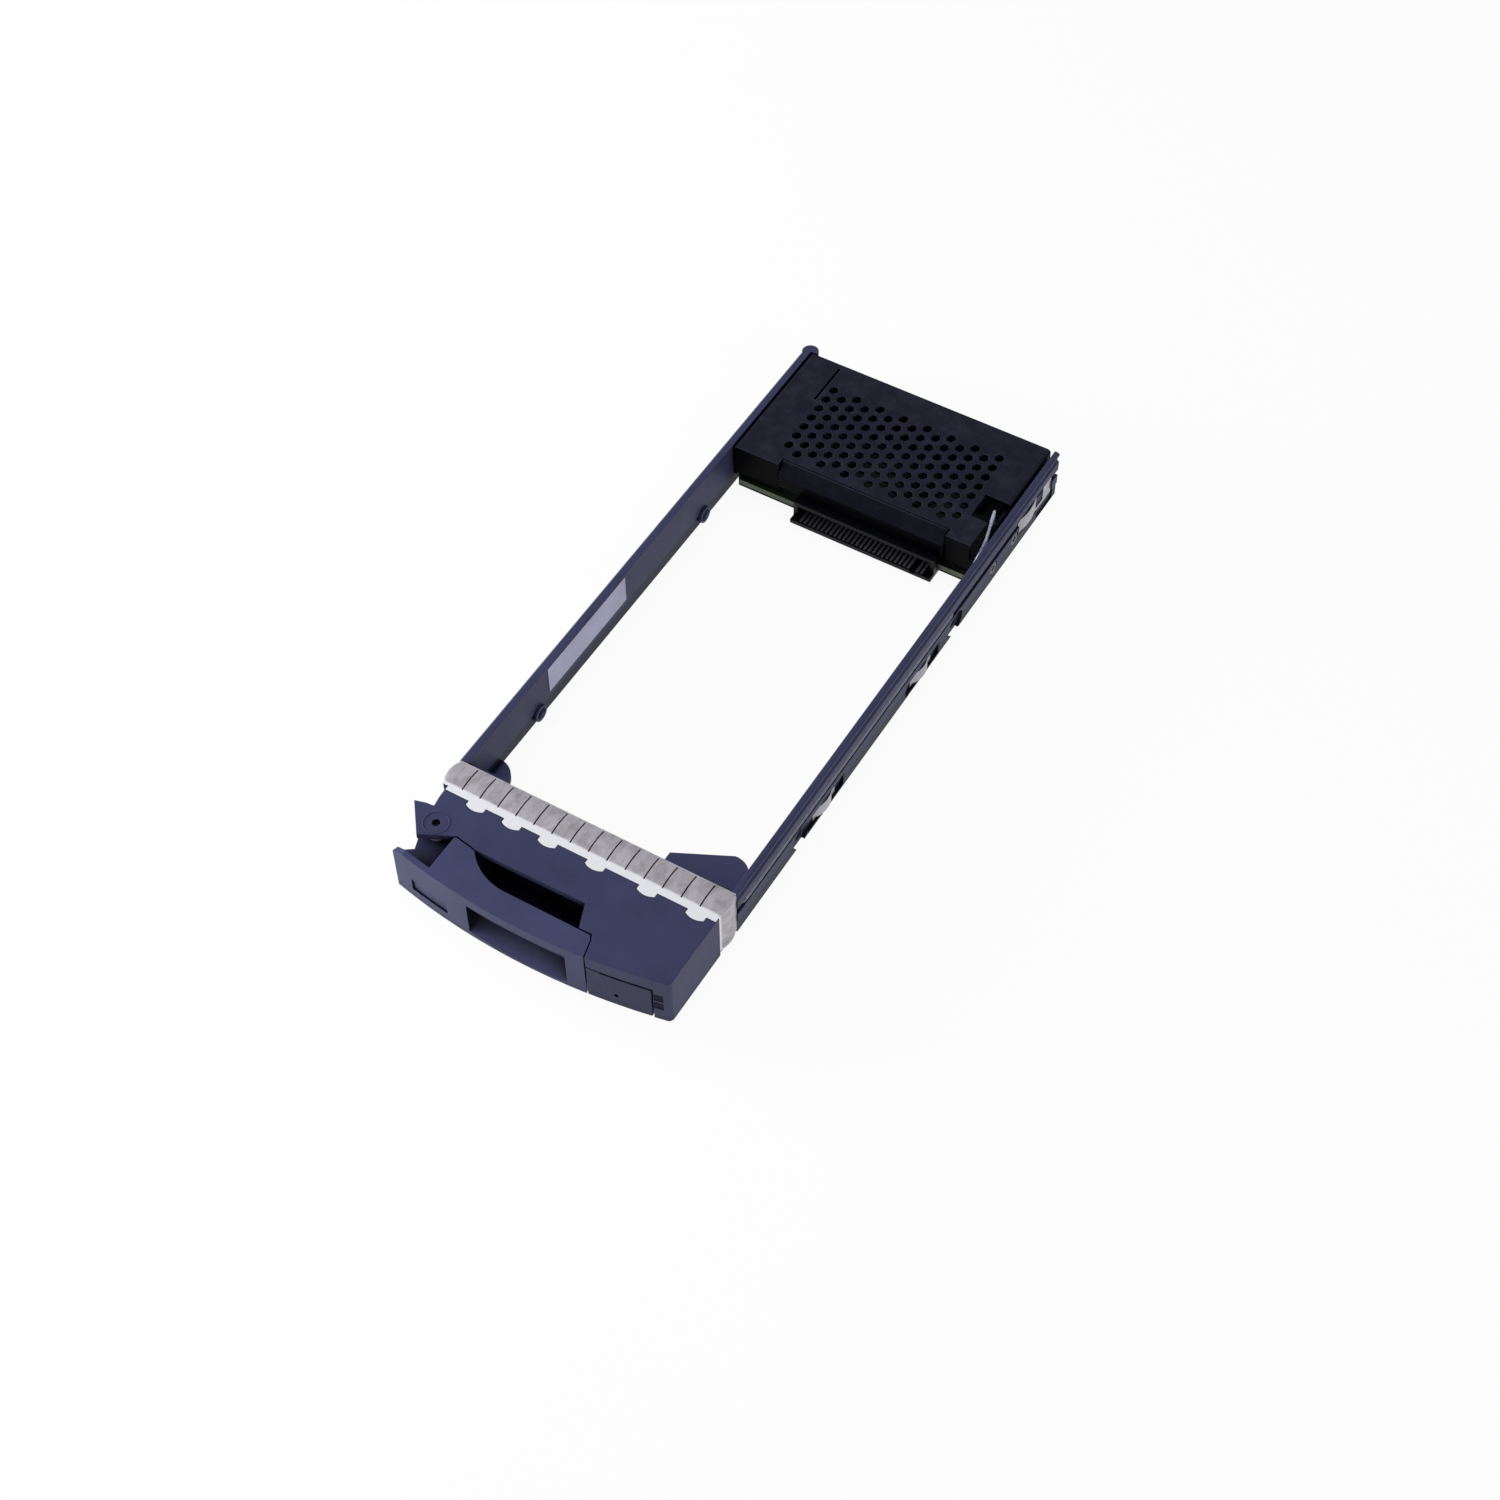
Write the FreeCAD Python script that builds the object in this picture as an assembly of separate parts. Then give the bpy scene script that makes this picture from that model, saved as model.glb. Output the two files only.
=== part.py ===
import FreeCAD, Part
import math
import os

# Hot swap carrier for one 2.5-inch drive, in millimetres.
# Origin: underside of the frame, on the centre line, at the shoulder where the bezel meets the gasket.
# +X points to the right, +Y to the rear connector, +Z up.

os.makedirs("parts", exist_ok=True)
V = FreeCAD.Vector

# The 2.5-inch drive that the carrier holds
DRIVE_WIDTH = 69.85
DRIVE_LENGTH = 100.4
DRIVE_REST_Z = 0.2
DRIVE_HOLE_PITCH = 76.6
DRIVE_HOLE_TO_END = 14.0
DRIVE_HOLE_HEIGHT = 3.0
DRIVE_SCREW_HOLE_R = 1.65

# Overall size, built outward from the drive
HEIGHT = 15.0
RAIL_STANDOFF = 1.075
RAIL_WALL = 2.2
BEZEL_STEP = 0.2
BAR_STEP = 0.6
BEZEL_DEPTH = 21.0
FRONT_BULGE = 4.2
CORNER_ROUND = 1.5
DRIVE_FRONT_ROOM = 19.1
CAGE_LENGTH = 40.1

# Clearances
RUN_GAP = 0.35
PIN_GAP = 0.05
CAGE_GAP = 0.3
DRIVE_SIDE_GAP = 0.25
DRIVE_END_GAP = 0.2
TOP_GAP = 0.1

# Rails
TOP_SET = 0.75
TOP_BAND = 3.4
LOW_SET = 0.25
LOW_SET_INSIDE = 0.5
LOW_TOP = 4.0
EDGE_BEVEL = 0.5
RIDGE_GROOVE = (0.8, 3.1)
RIDGE_GROOVE_DEPTH = 0.5
NOSE_LENGTH = 2.5
NOSE_WIDTH = 4.2
SCREW_BOSS_R = 2.3
SCREW_RECESS_R = 3.7
SCREW_RECESS_DEPTH = 1.1
FOOT_LENGTH = 10.0
FOOT_THICKNESS = 1.5
WING_THICKNESS = 1.5
SPRING_POCKET_DEPTH = 1.1
SPRING_POCKET_Z = (0.6, 5.2)
SPRING_POCKET_HALF = 8.5
SPRING_CENTRES_Y = (48.3, 96.0)

# Leaf springs on the rails
LEAF_SHEET = 0.3
LEAF_FOOT = 1.4
LEAF_HALF = 5.2
LEAF_PROUD = 0.28
LEAF_Z = (1.0, 4.6)

# Crossbar under the gasket
BAR_DEPTH = 7.6
BAR_DROP = 0.3
BAR_WALL = 1.5
BAR_POCKETS = 6
BAR_RIB = 2.0

# Gasket of spring fingers
GASKET_SHEET = 0.25
GASKET_RISE = 0.45
FINGER_COUNT = 15
FINGER_SLIT = 0.35
FLANGE_FRONT = (-1.3, 0.5)
FLANGE_REAR = 0.4
FLANGE_GAP = 0.15
SIDE_FINGER_RISE = 0.8
SIDE_FINGER_Z = 1.0
TABS_FROM_LEFT = (9.2, 19.2, 29.2)
TABS_FROM_RIGHT = (32.0, 18.0, 5.0)
TAB_HALF = 2.4
TAB_LENGTH = 1.9

# Bezel shell
SKIN = 1.6
FLOOR = 1.3
EAR_SKIN = 1.7
NECK_INSET = 1.8
EAR_REACH = 9.7
OPENING_LEFT = 17.7
OPENING_REAR_Y = -12.0
LEFT_POCKET_Y = 0.8
POCKET_REAR_Y = -8.0
SEAM_Y = -18.2
LATCH_ROOM_REAR_Y = -3.0
LATCH_ROOM_FRONT_Y = -20.9
LATCH_ROOM_LEFT = 24.8

# Outline of the ear's top and of the jaw's floor, from the lever's pivot
EAR_EDGE = ((11.5, -1.6), (6.5, -0.7), (-2.1, -5.0), (-8.2, 2.8), (-5.4, 3.6), (-3.3, 3.8), (-3.7, 6.6))
JAW_FLOOR_EDGE = ((-2.6, -5.9), (-5.3, -7.8))

# Cam lever, placed from its pivot and from the seam at its right end
PIVOT_INSET = 5.7
PIVOT_Y = -10.4
PIN_R = 1.0
PIN_RECESS = 1.0
LEVER_SEAM = 20.7
LEVER_BAR_REAR_Y = -18.5
LEVER_BOTTOM = 0.2
HUB_BOTTOM = 1.6
WEB_THICKNESS = 4.3
HUB_TO_EAR = 3.4
LEVER_HUB_R = 4.6
SKIRT = 2.6
TIP_REACH = 4.9
TIP_WALL = 1.5
TIP_SLOPE = 1.4
JAW_WIDTH = 6.0
WINDOW_MARGINS = (11.7, 4.9)
WINDOW_BOTTOM = 1.0
WINDOW_BACK_BOTTOM = 5.0
WINDOW_BROW = 3.1
WINDOW_DEPTH = 3.6
PANEL_LENGTH = 11.0
PANEL_Z = (3.2, 7.1)
PANEL_DEPTH = 0.4
BARB_REACH = 2.1
BARB_Y = (-13.6, -12.2)
ARM_THICKNESS = 2.0
ARM_Z = (4.0, 8.0)

# Torsion spring on the lever pin
WIRE_R = 0.3
TORSION_R = 2.1
TORSION_TURNS = 3
COIL_GAP = 0.15

# Release button
BUTTON_RIGHT = 4.6
BUTTON_BOTTOM = 0.25
BUTTON_BROW = 4.1
BUTTON_TOP_GAP = 0.35
BUTTON_STEP = 3.4
BUTTON_STEP_DEPTH = 0.35
BUTTON_SIDE_GAP = 0.5
BUTTON_SKIN = 1.2
BUTTON_TRAVEL = 1.5
BUTTON_BACK_Y = -19.6
BUTTON_FLANGE = 0.9
STEM_OFFSET = 11.5
STEM_HALF = 0.4
DIMPLE_R = 0.6
DIMPLE_OFFSET = 13.1
DIMPLE_Z = 3.9
DIMPLE_DEPTH = 1.0
RETURN_SPRING_OFFSET = 6.6
RETURN_SPRING_Z = 6.2
RETURN_SPRING_R = 1.3
RETURN_ROOM = 7.0
RETURN_TURNS = 5

# Latch pawl
PAWL_OFFSET = 16.5
PAWL_Y = -9.0
PAWL_PIN_R = 0.8
PAWL_PIN_BOTTOM = 0.4
PAWL_PIN_BROW = 0.8
PAWL_HUB_R = 2.2
NOSE_GAP = 0.25
PUSH_GAP = 0.3

# Indicator lenses and light pipes
LENS_INSETS = (4.0, 1.7)
LENS_HEIGHT = 2.6
LENS_Z = (5.3, 8.4)
PIPE_R = 0.4
PIPE_PITCH = 0.95
PIPE_Z = 7.65
PIPE_GROOVE_DEPTH = 1.0
PIPE_GAP = 0.15
PIPE_CROSS = 2.0
PIPE_RISE = 4.6
PIPE_TOP_DROP = 2.0
PIPE_DROP = (2.8, 13.3)

# Floor plates at the rails' roots
RIGHT_WING_PEAK = (8.9, 17.2)
RIGHT_WING_SLOPE = (13.9, 6.9)
LEFT_WING_REACH = (4.7, 13.0)

# Rear cage
SHEET = 0.8
COVER_BEND = 1.0
COVER_SKIRT_Z = 5.0
COVER_WALL_Z = 5.6
WALL_SET = 0.9
FLAP_SIDES = (6.1, 0.65)
FLAP_REACH = 0.7
FLAP_BOTTOM = 8.0
FLAP_SLOPE = (2.6, 3.4)
FLAP_SLIT = 0.5
FLAP_GROOVE = 0.3
HOLE_ACROSS = 2.4
HOLE_ROW_PITCH = 3.84
HOLE_COLUMN_PITCH = 3.51
HOLE_MARGIN_X = (12.1, 10.0)
HOLE_MARGIN_Y = (5.8, 9.3)
SLIT_MARGIN = 9.5
SLIT_LENGTH = 13.2
SLIT_REAR = 1.5
SLIT_WIDTH = 0.7
NOTCH_MARGIN = 7.2
NOTCH_Y = (9.4, 17.7)
NOTCH_DEPTH = 5.3
CHANNEL_MARGIN = 2.3
TRAY_Z = 0.2
TRAY_WALL_TOP = 12.0

# Interposer board and its connectors
BOARD_Z = 3.0
BOARD_THICKNESS = 1.6
BOARD_MARGIN = 2.1
BOARD_REAR_SET = 4.3
STANDOFF_R = 2.2
STANDOFF_INSET = 4.1
STANDOFF_MARGIN_Y = (6.2, 4.0)
CONNECTOR_X = 4.75
CONNECTOR_WIDTH = 41.2
CONNECTOR_REACH = 3.9
CONNECTOR_LENGTH = 8.2
CONNECTOR_Z = (1.6, 7.6)
CONNECTOR_WALL = 1.2
CONNECTOR_LIP = 1.8
PLUG_LENGTH = 9.5
SLOT_DEPTH = 5.0
KEY_INSET = 6.0
KEY_WIDTH = 1.5
CONTACT_MARGIN = 0.9
CONTACT_PITCH = 1.27
CONTACT_WIDTH = 0.7
CONTACT_THICKNESS = 0.2
CONTACT_SET = 0.4

# Each chip: centre from the board's middle across and along, width, depth, height
CHIPS = ((-17.0, -1.65, 14.0, 14.0, 1.4), (9.0, 0.35, 9.0, 12.0, 1.1), (24.0, 6.35, 5.0, 6.0, 1.8))

# Screws
CAGE_SCREW_MARGIN_Y = (4.8, 23.8)
CAGE_SCREW_Z = 4.8
CAGE_SCREW_R = 1.0
CAGE_HEAD_R = 1.9
HEAD_THICKNESS = 0.6
HEAD_GAP = 0.1
FOOT_SCREW_INSET = 5.0
FOOT_SCREW_Z = 4.0
FOOT_SCREW_TOP = 5.4
FOOT_SCREW_R = 1.1
FOOT_HEAD_R = 2.0
FOOT_BOSS_R = 2.3
FOOT_TIP_Y = 2.0

# Ground clip and label
CLIP_FROM_END = 21.4
CLIP_LENGTH = 18.4
CLIP_Z = (3.4, 9.8)
CLIP_SHEET = 0.3
CLIP_POCKET_DEPTH = 0.7
CLIP_TONGUE = 9.2
CLIP_RELIEF = 8.0
CLIP_WINDOW = (10.0, 14.0)
CLIP_EDGE = 1.0
LABEL_Y = (41.5, 76.2)
LABEL_BOTTOM = 6.0
LABEL_BROW = 0.8
LABEL_THICKNESS = 0.15

# Worked-out places across the carrier
RAIL_INNER = DRIVE_WIDTH / 2 + RAIL_STANDOFF
HALF = RAIL_INNER + RAIL_WALL
BEZEL_HALF = HALF - BEZEL_STEP
BAR_HALF = HALF - BAR_STEP
BOSS_FACE = DRIVE_WIDTH / 2 + DRIVE_SIDE_GAP
CAGE_HALF = RAIL_INNER - CAGE_GAP
TRAY_HALF = CAGE_HALF - SHEET
BOARD_HALF = CAGE_HALF - BOARD_MARGIN
STANDOFF_X = BOARD_HALF - STANDOFF_INSET
PIVOT = (PIVOT_INSET - BEZEL_HALF, PIVOT_Y)
NECK_X = NECK_INSET - BEZEL_HALF
OPENING_X0 = OPENING_LEFT - BEZEL_HALF
LEVER_END_X = BEZEL_HALF - LEVER_SEAM
OPENING_X1 = LEVER_END_X - 7.5
JAW_RIGHT_X = PIVOT[0] + JAW_WIDTH
LEVER_TIP_X = PIVOT[0] - TIP_REACH
ARM_X = (LEVER_END_X - 4.4, LEVER_END_X - 4.4 + ARM_THICKNESS)
BARB_TIP_X = ARM_X[1] + BARB_REACH
BUTTON_X = (LEVER_END_X + RUN_GAP + 0.05, BEZEL_HALF - BUTTON_RIGHT)
LATCH_ROOM_X = (BEZEL_HALF - LATCH_ROOM_LEFT, BEZEL_HALF - SKIN)
PAWL_PIVOT = (BEZEL_HALF - PAWL_OFFSET, PAWL_Y)
STEM_X = BEZEL_HALF - STEM_OFFSET
PAWL_ARM = STEM_X - PAWL_PIVOT[0]
RETURN_SPRING_X = BEZEL_HALF - RETURN_SPRING_OFFSET
LENS_X = (BEZEL_HALF - LENS_INSETS[0], BEZEL_HALF - LENS_INSETS[1])
FOOT_SCREW_X = RAIL_INNER - FOOT_SCREW_INSET
PIPE_BEZEL_X = sum(LENS_X) / 2
CONNECTOR_ENDS = (CONNECTOR_X - CONNECTOR_WIDTH / 2, CONNECTOR_X + CONNECTOR_WIDTH / 2)
FLAP_X = (CONNECTOR_ENDS[0] - FLAP_SIDES[0], CONNECTOR_ENDS[1] + FLAP_SIDES[1])
TABS_X = [NECK_X + x for x in TABS_FROM_LEFT] + [BEZEL_HALF - x for x in TABS_FROM_RIGHT]

# Worked-out places along it
DRIVE_END_Y = BAR_DEPTH + DRIVE_FRONT_ROOM + DRIVE_LENGTH
DRIVE_HOLES_Y = (DRIVE_END_Y - DRIVE_HOLE_TO_END - DRIVE_HOLE_PITCH, DRIVE_END_Y - DRIVE_HOLE_TO_END)
COVER_FRONT_Y = DRIVE_END_Y + DRIVE_END_GAP + WALL_SET
CAGE_REAR_Y = COVER_FRONT_Y + CAGE_LENGTH
REAR_Y = CAGE_REAR_Y + TOP_GAP
BOARD_FRONT_Y = DRIVE_END_Y + DRIVE_END_GAP
BOARD_REAR_Y = CAGE_REAR_Y - BOARD_REAR_SET
BOARD_MIDDLE_Y = (BOARD_FRONT_Y + BOARD_REAR_Y) / 2
CONNECTOR_Y = (DRIVE_END_Y - CONNECTOR_REACH, DRIVE_END_Y - CONNECTOR_REACH + CONNECTOR_LENGTH)
PLUG_Y = (CAGE_REAR_Y - PLUG_LENGTH, CAGE_REAR_Y + DRIVE_END_GAP)
STANDOFFS_Y = (BOARD_FRONT_Y + STANDOFF_MARGIN_Y[0], BOARD_REAR_Y - STANDOFF_MARGIN_Y[1])
CAGE_SCREWS_Y = (COVER_FRONT_Y + CAGE_SCREW_MARGIN_Y[0], CAGE_REAR_Y - CAGE_SCREW_MARGIN_Y[1])
CLIP_Y = (REAR_Y - CLIP_FROM_END, REAR_Y - CLIP_FROM_END + CLIP_LENGTH)
FRONT_CORNER_Y = -BEZEL_DEPTH
FRONT_R = (BEZEL_HALF ** 2 + FRONT_BULGE ** 2) / (2 * FRONT_BULGE)
FRONT_CENTRE_Y = FRONT_CORNER_Y - FRONT_BULGE + FRONT_R

# Worked-out heights
BAR_TOP = HEIGHT - BAR_DROP
LEVER_TOP = HEIGHT - TOP_GAP
COVER_TOP = HEIGHT - TOP_GAP
EAR_UNDERSIDE = HEIGHT - EAR_SKIN
HUB_TOP = EAR_UNDERSIDE - HUB_TO_EAR
LEVER_WEB = (HUB_TOP - WEB_THICKNESS, HUB_TOP)
WINDOW_Z = (WINDOW_BOTTOM, HEIGHT - WINDOW_BROW)
BUTTON_Z = (BUTTON_BOTTOM, HEIGHT - BUTTON_BROW)
PAWL_Z = ARM_Z
PIPE_TOP_Z = COVER_TOP - PIPE_TOP_DROP
FOOT_SCREWS_Z = (FOOT_SCREW_Z, HEIGHT - FOOT_SCREW_TOP)
DRIVE_HOLE_Z = DRIVE_REST_Z + DRIVE_HOLE_HEIGHT
BOARD_TOP = BOARD_Z + BOARD_THICKNESS
PAWL_PIN_LENGTH = HEIGHT - PAWL_PIN_BROW - PAWL_PIN_BOTTOM


def front_y(x, inset=0.0):
    return FRONT_CENTRE_Y - math.sqrt((FRONT_R - inset) ** 2 - x ** 2)


def box(x0, x1, y0, y1, z0, z1):
    return Part.makeBox(x1 - x0, y1 - y0, z1 - z0, V(x0, y0, z0))


def cylinder(centre, axis, radius, length):
    return Part.makeCylinder(radius, length, V(*centre), V(*axis))


def wire(steps, place):
    """A closed wire. A step is a point, or a pair (middle, end) for an arc."""
    here = place(*steps[0])
    first = here
    edges = []
    for step in steps[1:]:
        if isinstance(step[0], tuple):
            middle, end = place(*step[0]), place(*step[1])
            edges.append(Part.Arc(here, middle, end).toShape())
        else:
            end = place(*step)
            edges.append(Part.makeLine(here, end))
        here = end
    if here.distanceToPoint(first) > 1e-6:
        edges.append(Part.makeLine(here, first))
    return Part.Face(Part.Wire(edges))


def plan(steps, z0, z1):
    """Solid with an XY outline between two heights."""
    return wire(steps, lambda x, y: V(x, y, z0)).extrude(V(0, 0, z1 - z0))


def side(steps, x0, x1):
    """Solid with a YZ outline between two widths."""
    return wire(steps, lambda y, z: V(x0, y, z)).extrude(V(x1 - x0, 0, 0))


def cross(steps, y0, y1):
    """Solid with an XZ outline between two depths."""
    return wire(steps, lambda x, z: V(x, y0, z)).extrude(V(0, y1 - y0, 0))


def mirrored(shape):
    return shape.mirror(V(0, 0, 0), V(1, 0, 0))


def joined(shapes):
    return shapes[0].multiFuse(shapes[1:]).removeSplitter()


def less(shape, tools):
    return shape.cut(Part.makeCompound(tools)) if len(tools) > 1 else shape.cut(tools[0])


def save(name, shape):
    solids = shape.Solids
    shape = solids[0] if len(solids) == 1 else Part.makeCompound(solids)
    shape.exportStep("parts/" + name + ".step")
    print(name, len(solids), "solids", round(shape.Volume, 1), "valid", shape.isValid())


def pin_point(radius, degrees):
    """A point on a circle about the lever's pivot."""
    turn = math.radians(degrees)
    return (PIVOT[0] + radius * math.cos(turn), PIVOT[1] + radius * math.sin(turn))


# Outlines that several pieces share
def across(x0, x1, inset):
    """The front arc between two places, as the last two steps of an outline that has reached x0."""
    middle = (x0 + x1) / 2
    return ((middle, front_y(middle, inset)), (x1, front_y(x1, inset)))


def behind_arc(x0, x1, inset, back_y):
    return [(x0, front_y(x0, inset)), across(x0, x1, inset), (x1, back_y), (x0, back_y)]


def ahead_of_arc(x0, x1, inset):
    clear_y = front_y(0) - 2
    return [(x0, front_y(x0, inset)), across(x0, x1, inset), (x1, clear_y), (x0, clear_y)]


def seam(gap):
    """The joint between the lever's right end and the bezel, from the front to the finger opening."""
    y = SEAM_Y - RUN_GAP + gap
    return [
        (LEVER_END_X + gap, front_y(LEVER_END_X + gap)),
        (LEVER_END_X - 1.1 + gap, SEAM_Y - 1.5),
        (LEVER_END_X - 1.9 + gap, y),
        (OPENING_X1 + 2.1 + gap, y),
    ]


def from_pivot(dx, dy):
    return (PIVOT[0] + dx, PIVOT[1] + dy)


# Rails
def rail_section(thin_top):
    """Across the right rail, with a groove for the light pipes and another under the top edge."""
    low, high = HEIGHT - RIDGE_GROOVE[1], HEIGHT - RIDGE_GROOVE[0]
    pipe_low, pipe_high = pipe_groove_z()
    groove = HALF - RIDGE_GROOVE_DEPTH
    top = [(RAIL_INNER, HEIGHT)]
    if thin_top:
        inner_top = RAIL_INNER + TOP_SET
        band = HEIGHT - TOP_BAND
        top = [(inner_top, HEIGHT), (inner_top, band), (RAIL_INNER, band - TOP_SET)]
    return [
        (RAIL_INNER + LOW_SET_INSIDE, 0),
        (HALF - LOW_SET, 0),
        (HALF - LOW_SET, LOW_TOP),
        (HALF, LOW_TOP + LOW_SET),
        (HALF, pipe_low),
        (HALF - PIPE_GROOVE_DEPTH, pipe_low),
        (HALF - PIPE_GROOVE_DEPTH, pipe_high),
        (HALF, pipe_high),
        (HALF, low),
        (groove, low + RIDGE_GROOVE_DEPTH),
        (groove, high),
        (HALF, high),
        (HALF, HEIGHT - EDGE_BEVEL),
        (HALF - EDGE_BEVEL, HEIGHT),
        *top,
        (RAIL_INNER, LOW_TOP + LOW_SET_INSIDE),
        (RAIL_INNER + LOW_SET_INSIDE, LOW_TOP),
    ]


def pipe_groove_z():
    return PIPE_Z - PIPE_R - PIPE_GAP, PIPE_Z + PIPE_PITCH + PIPE_R + PIPE_GAP


def rail(wing, right):
    """A rail, drawn on the right. wing is the outline of its floor plate."""
    rooted = RAIL_INNER + TOP_SET + 0.1
    solids = [
        cross(rail_section(right), BAR_DEPTH, REAR_Y),
        box(RAIL_INNER - FOOT_LENGTH, rooted, BAR_DEPTH, BAR_DEPTH + FOOT_THICKNESS, 0, BAR_TOP - BAR_WALL),
        plan(wing, 0, WING_THICKNESS),
    ]
    if not right:
        solids.append(plan(rail_nose(), 0, HEIGHT))
    tools = []
    for y in DRIVE_HOLES_Y:
        solids.append(cylinder((BOSS_FACE, y, DRIVE_HOLE_Z), (1, 0, 0), SCREW_BOSS_R, rooted - BOSS_FACE))
        hole, recess = (BOSS_FACE - 1, y, DRIVE_HOLE_Z), (HALF - SCREW_RECESS_DEPTH, y, DRIVE_HOLE_Z)
        tools.append(cylinder(hole, (1, 0, 0), DRIVE_SCREW_HOLE_R, HALF + 2 - BOSS_FACE))
        tools.append(cylinder(recess, (1, 0, 0), SCREW_RECESS_R, RAIL_WALL))
    for y in SPRING_CENTRES_Y:
        half = SPRING_POCKET_HALF
        tools.append(box(HALF - SPRING_POCKET_DEPTH, HALF + 1, y - half, y + half, *SPRING_POCKET_Z))
    for y in CAGE_SCREWS_Y:
        tools.append(cylinder((RAIL_INNER - 1, y, CAGE_SCREW_Z), (1, 0, 0), CAGE_SCREW_R, RAIL_WALL + 2))
        seat = HALF - HEAD_THICKNESS - HEAD_GAP
        tools.append(cylinder((seat, y, CAGE_SCREW_Z), (1, 0, 0), CAGE_HEAD_R + HEAD_GAP, RAIL_WALL))
    for z in FOOT_SCREWS_Z:
        start = (FOOT_SCREW_X, BAR_DEPTH - 1, z)
        tools.append(cylinder(start, (0, 1, 0), FOOT_SCREW_R, FOOT_THICKNESS + 2))
    if right:
        low, high = pipe_groove_z()
        cross_y = DRIVE_HOLES_Y[1] - PIPE_CROSS
        tools.append(box(RAIL_INNER - 1, HALF + 1, BAR_DEPTH - 1, BAR_DEPTH + 6, low, high))
        outside, inside = HALF + 1, RAIL_INNER - 1
        window = [
            (outside, cross_y - 4),
            (outside, cross_y + 2),
            (inside, cross_y + 8),
            (inside, cross_y + 3),
        ]
        tools.append(plan(window, low, high))
        face = HALF - CLIP_POCKET_DEPTH
        tools.append(box(face, HALF + 1, CLIP_Y[0], CLIP_Y[1], *CLIP_Z))
        tools.append(box(face, HALF + 1, CLIP_Y[1] - CLIP_RELIEF, CLIP_Y[1] + 1, LOW_SET, CLIP_Z[0] + 1))
    return less(joined(solids), tools)


def rail_nose():
    """Rounded lead-in at the rear end of the left rail."""
    return [
        (HALF, REAR_Y - 0.8),
        ((HALF - NOSE_WIDTH * 0.45, REAR_Y + NOSE_LENGTH), (HALF - NOSE_WIDTH, REAR_Y + 0.4)),
        (RAIL_INNER, REAR_Y + 0.2),
        (RAIL_INNER, REAR_Y - 0.8),
    ]


def right_wing():
    """Floor plate in the corner between the crossbar and the right rail, with a rounded peak."""
    rooted = RAIL_INNER + LOW_SET_INSIDE + 0.1
    peak_x, peak_y = RAIL_INNER - RIGHT_WING_PEAK[0], BAR_DEPTH + RIGHT_WING_PEAK[1]
    toe_x = peak_x - RIGHT_WING_SLOPE[0]
    return [
        (toe_x, BAR_DEPTH),
        (rooted, BAR_DEPTH),
        (rooted, peak_y - 4.5),
        (RAIL_INNER - 4.3, peak_y - 1.8),
        ((peak_x + 2.6, peak_y - 0.4), (peak_x, peak_y)),
        (toe_x, peak_y - RIGHT_WING_SLOPE[1]),
    ]


def left_wing():
    """Outline of the smaller left plate, drawn on the right side because the left rail is mirrored."""
    rooted = RAIL_INNER + LOW_SET_INSIDE + 0.1
    toe_x, top_y = RAIL_INNER - LEFT_WING_REACH[0], BAR_DEPTH + LEFT_WING_REACH[1]
    return [
        (toe_x, BAR_DEPTH),
        (rooted, BAR_DEPTH),
        (rooted, top_y),
        (RAIL_INNER - 0.4, top_y),
        ((RAIL_INNER - 2.8, top_y - 1.2), (toe_x, top_y - 3.9)),
    ]


def leaf_spring(centre_y):
    """Bowed strip in a rail's pocket, on the right side."""
    floor_x = HALF - SPRING_POCKET_DEPTH
    crest = HALF + LEAF_PROUD
    y0, y1 = centre_y - LEAF_HALF, centre_y + LEAF_HALF
    steps = [
        (floor_x, y0),
        (floor_x + LEAF_SHEET, y0),
        (floor_x + LEAF_SHEET, y0 + LEAF_FOOT),
        ((crest, centre_y), (floor_x + LEAF_SHEET, y1 - LEAF_FOOT)),
        (floor_x + LEAF_SHEET, y1),
        (floor_x, y1),
        (floor_x, y1 - LEAF_FOOT),
        ((crest - LEAF_SHEET, centre_y), (floor_x, y0 + LEAF_FOOT)),
    ]
    return plan(steps, *LEAF_Z)


def ground_clip():
    """Bright contact plate near the rear of the right rail, with a bowed tongue and a window behind it."""
    face = HALF - CLIP_POCKET_DEPTH
    front = face + CLIP_SHEET
    plate = box(face, front, CLIP_Y[0], CLIP_Y[1], *CLIP_Z)
    low, high = CLIP_Z[0] + CLIP_EDGE, CLIP_Z[1] - CLIP_EDGE
    window = box(face - 1, HALF, CLIP_Y[0] + CLIP_WINDOW[0], CLIP_Y[0] + CLIP_WINDOW[1], low, high)
    start = CLIP_Y[0] + CLIP_EDGE / 2
    end = start + CLIP_TONGUE
    crest = HALF + LEAF_PROUD
    steps = [
        (front, start),
        ((crest, (start + end) / 2), (front, end)),
        (face + 0.05, end),
        ((crest - CLIP_SHEET, (start + end) / 2), (face + 0.05, start)),
    ]
    return joined([plate.cut(window), plan(steps, low, high)])


# Bezel
def bezel_outline():
    corner = CORNER_ROUND
    nook = corner * math.sqrt(0.5)
    corner_x = BEZEL_HALF - corner
    corner_y = front_y(corner_x) + corner
    seam_x = LEVER_END_X + RUN_GAP
    return [
        (BEZEL_HALF, 0.1),
        (BEZEL_HALF, corner_y),
        ((corner_x + nook, corner_y - nook), (corner_x, corner_y - corner)),
        across(corner_x, seam_x, 0),
        *seam(RUN_GAP)[1:],
        (OPENING_X1, OPENING_REAR_Y + 0.1),
        (OPENING_X0, OPENING_REAR_Y - 0.2),
        *[from_pivot(*point) for point in EAR_EDGE],
        (NECK_X, 0.1),
    ]


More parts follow.
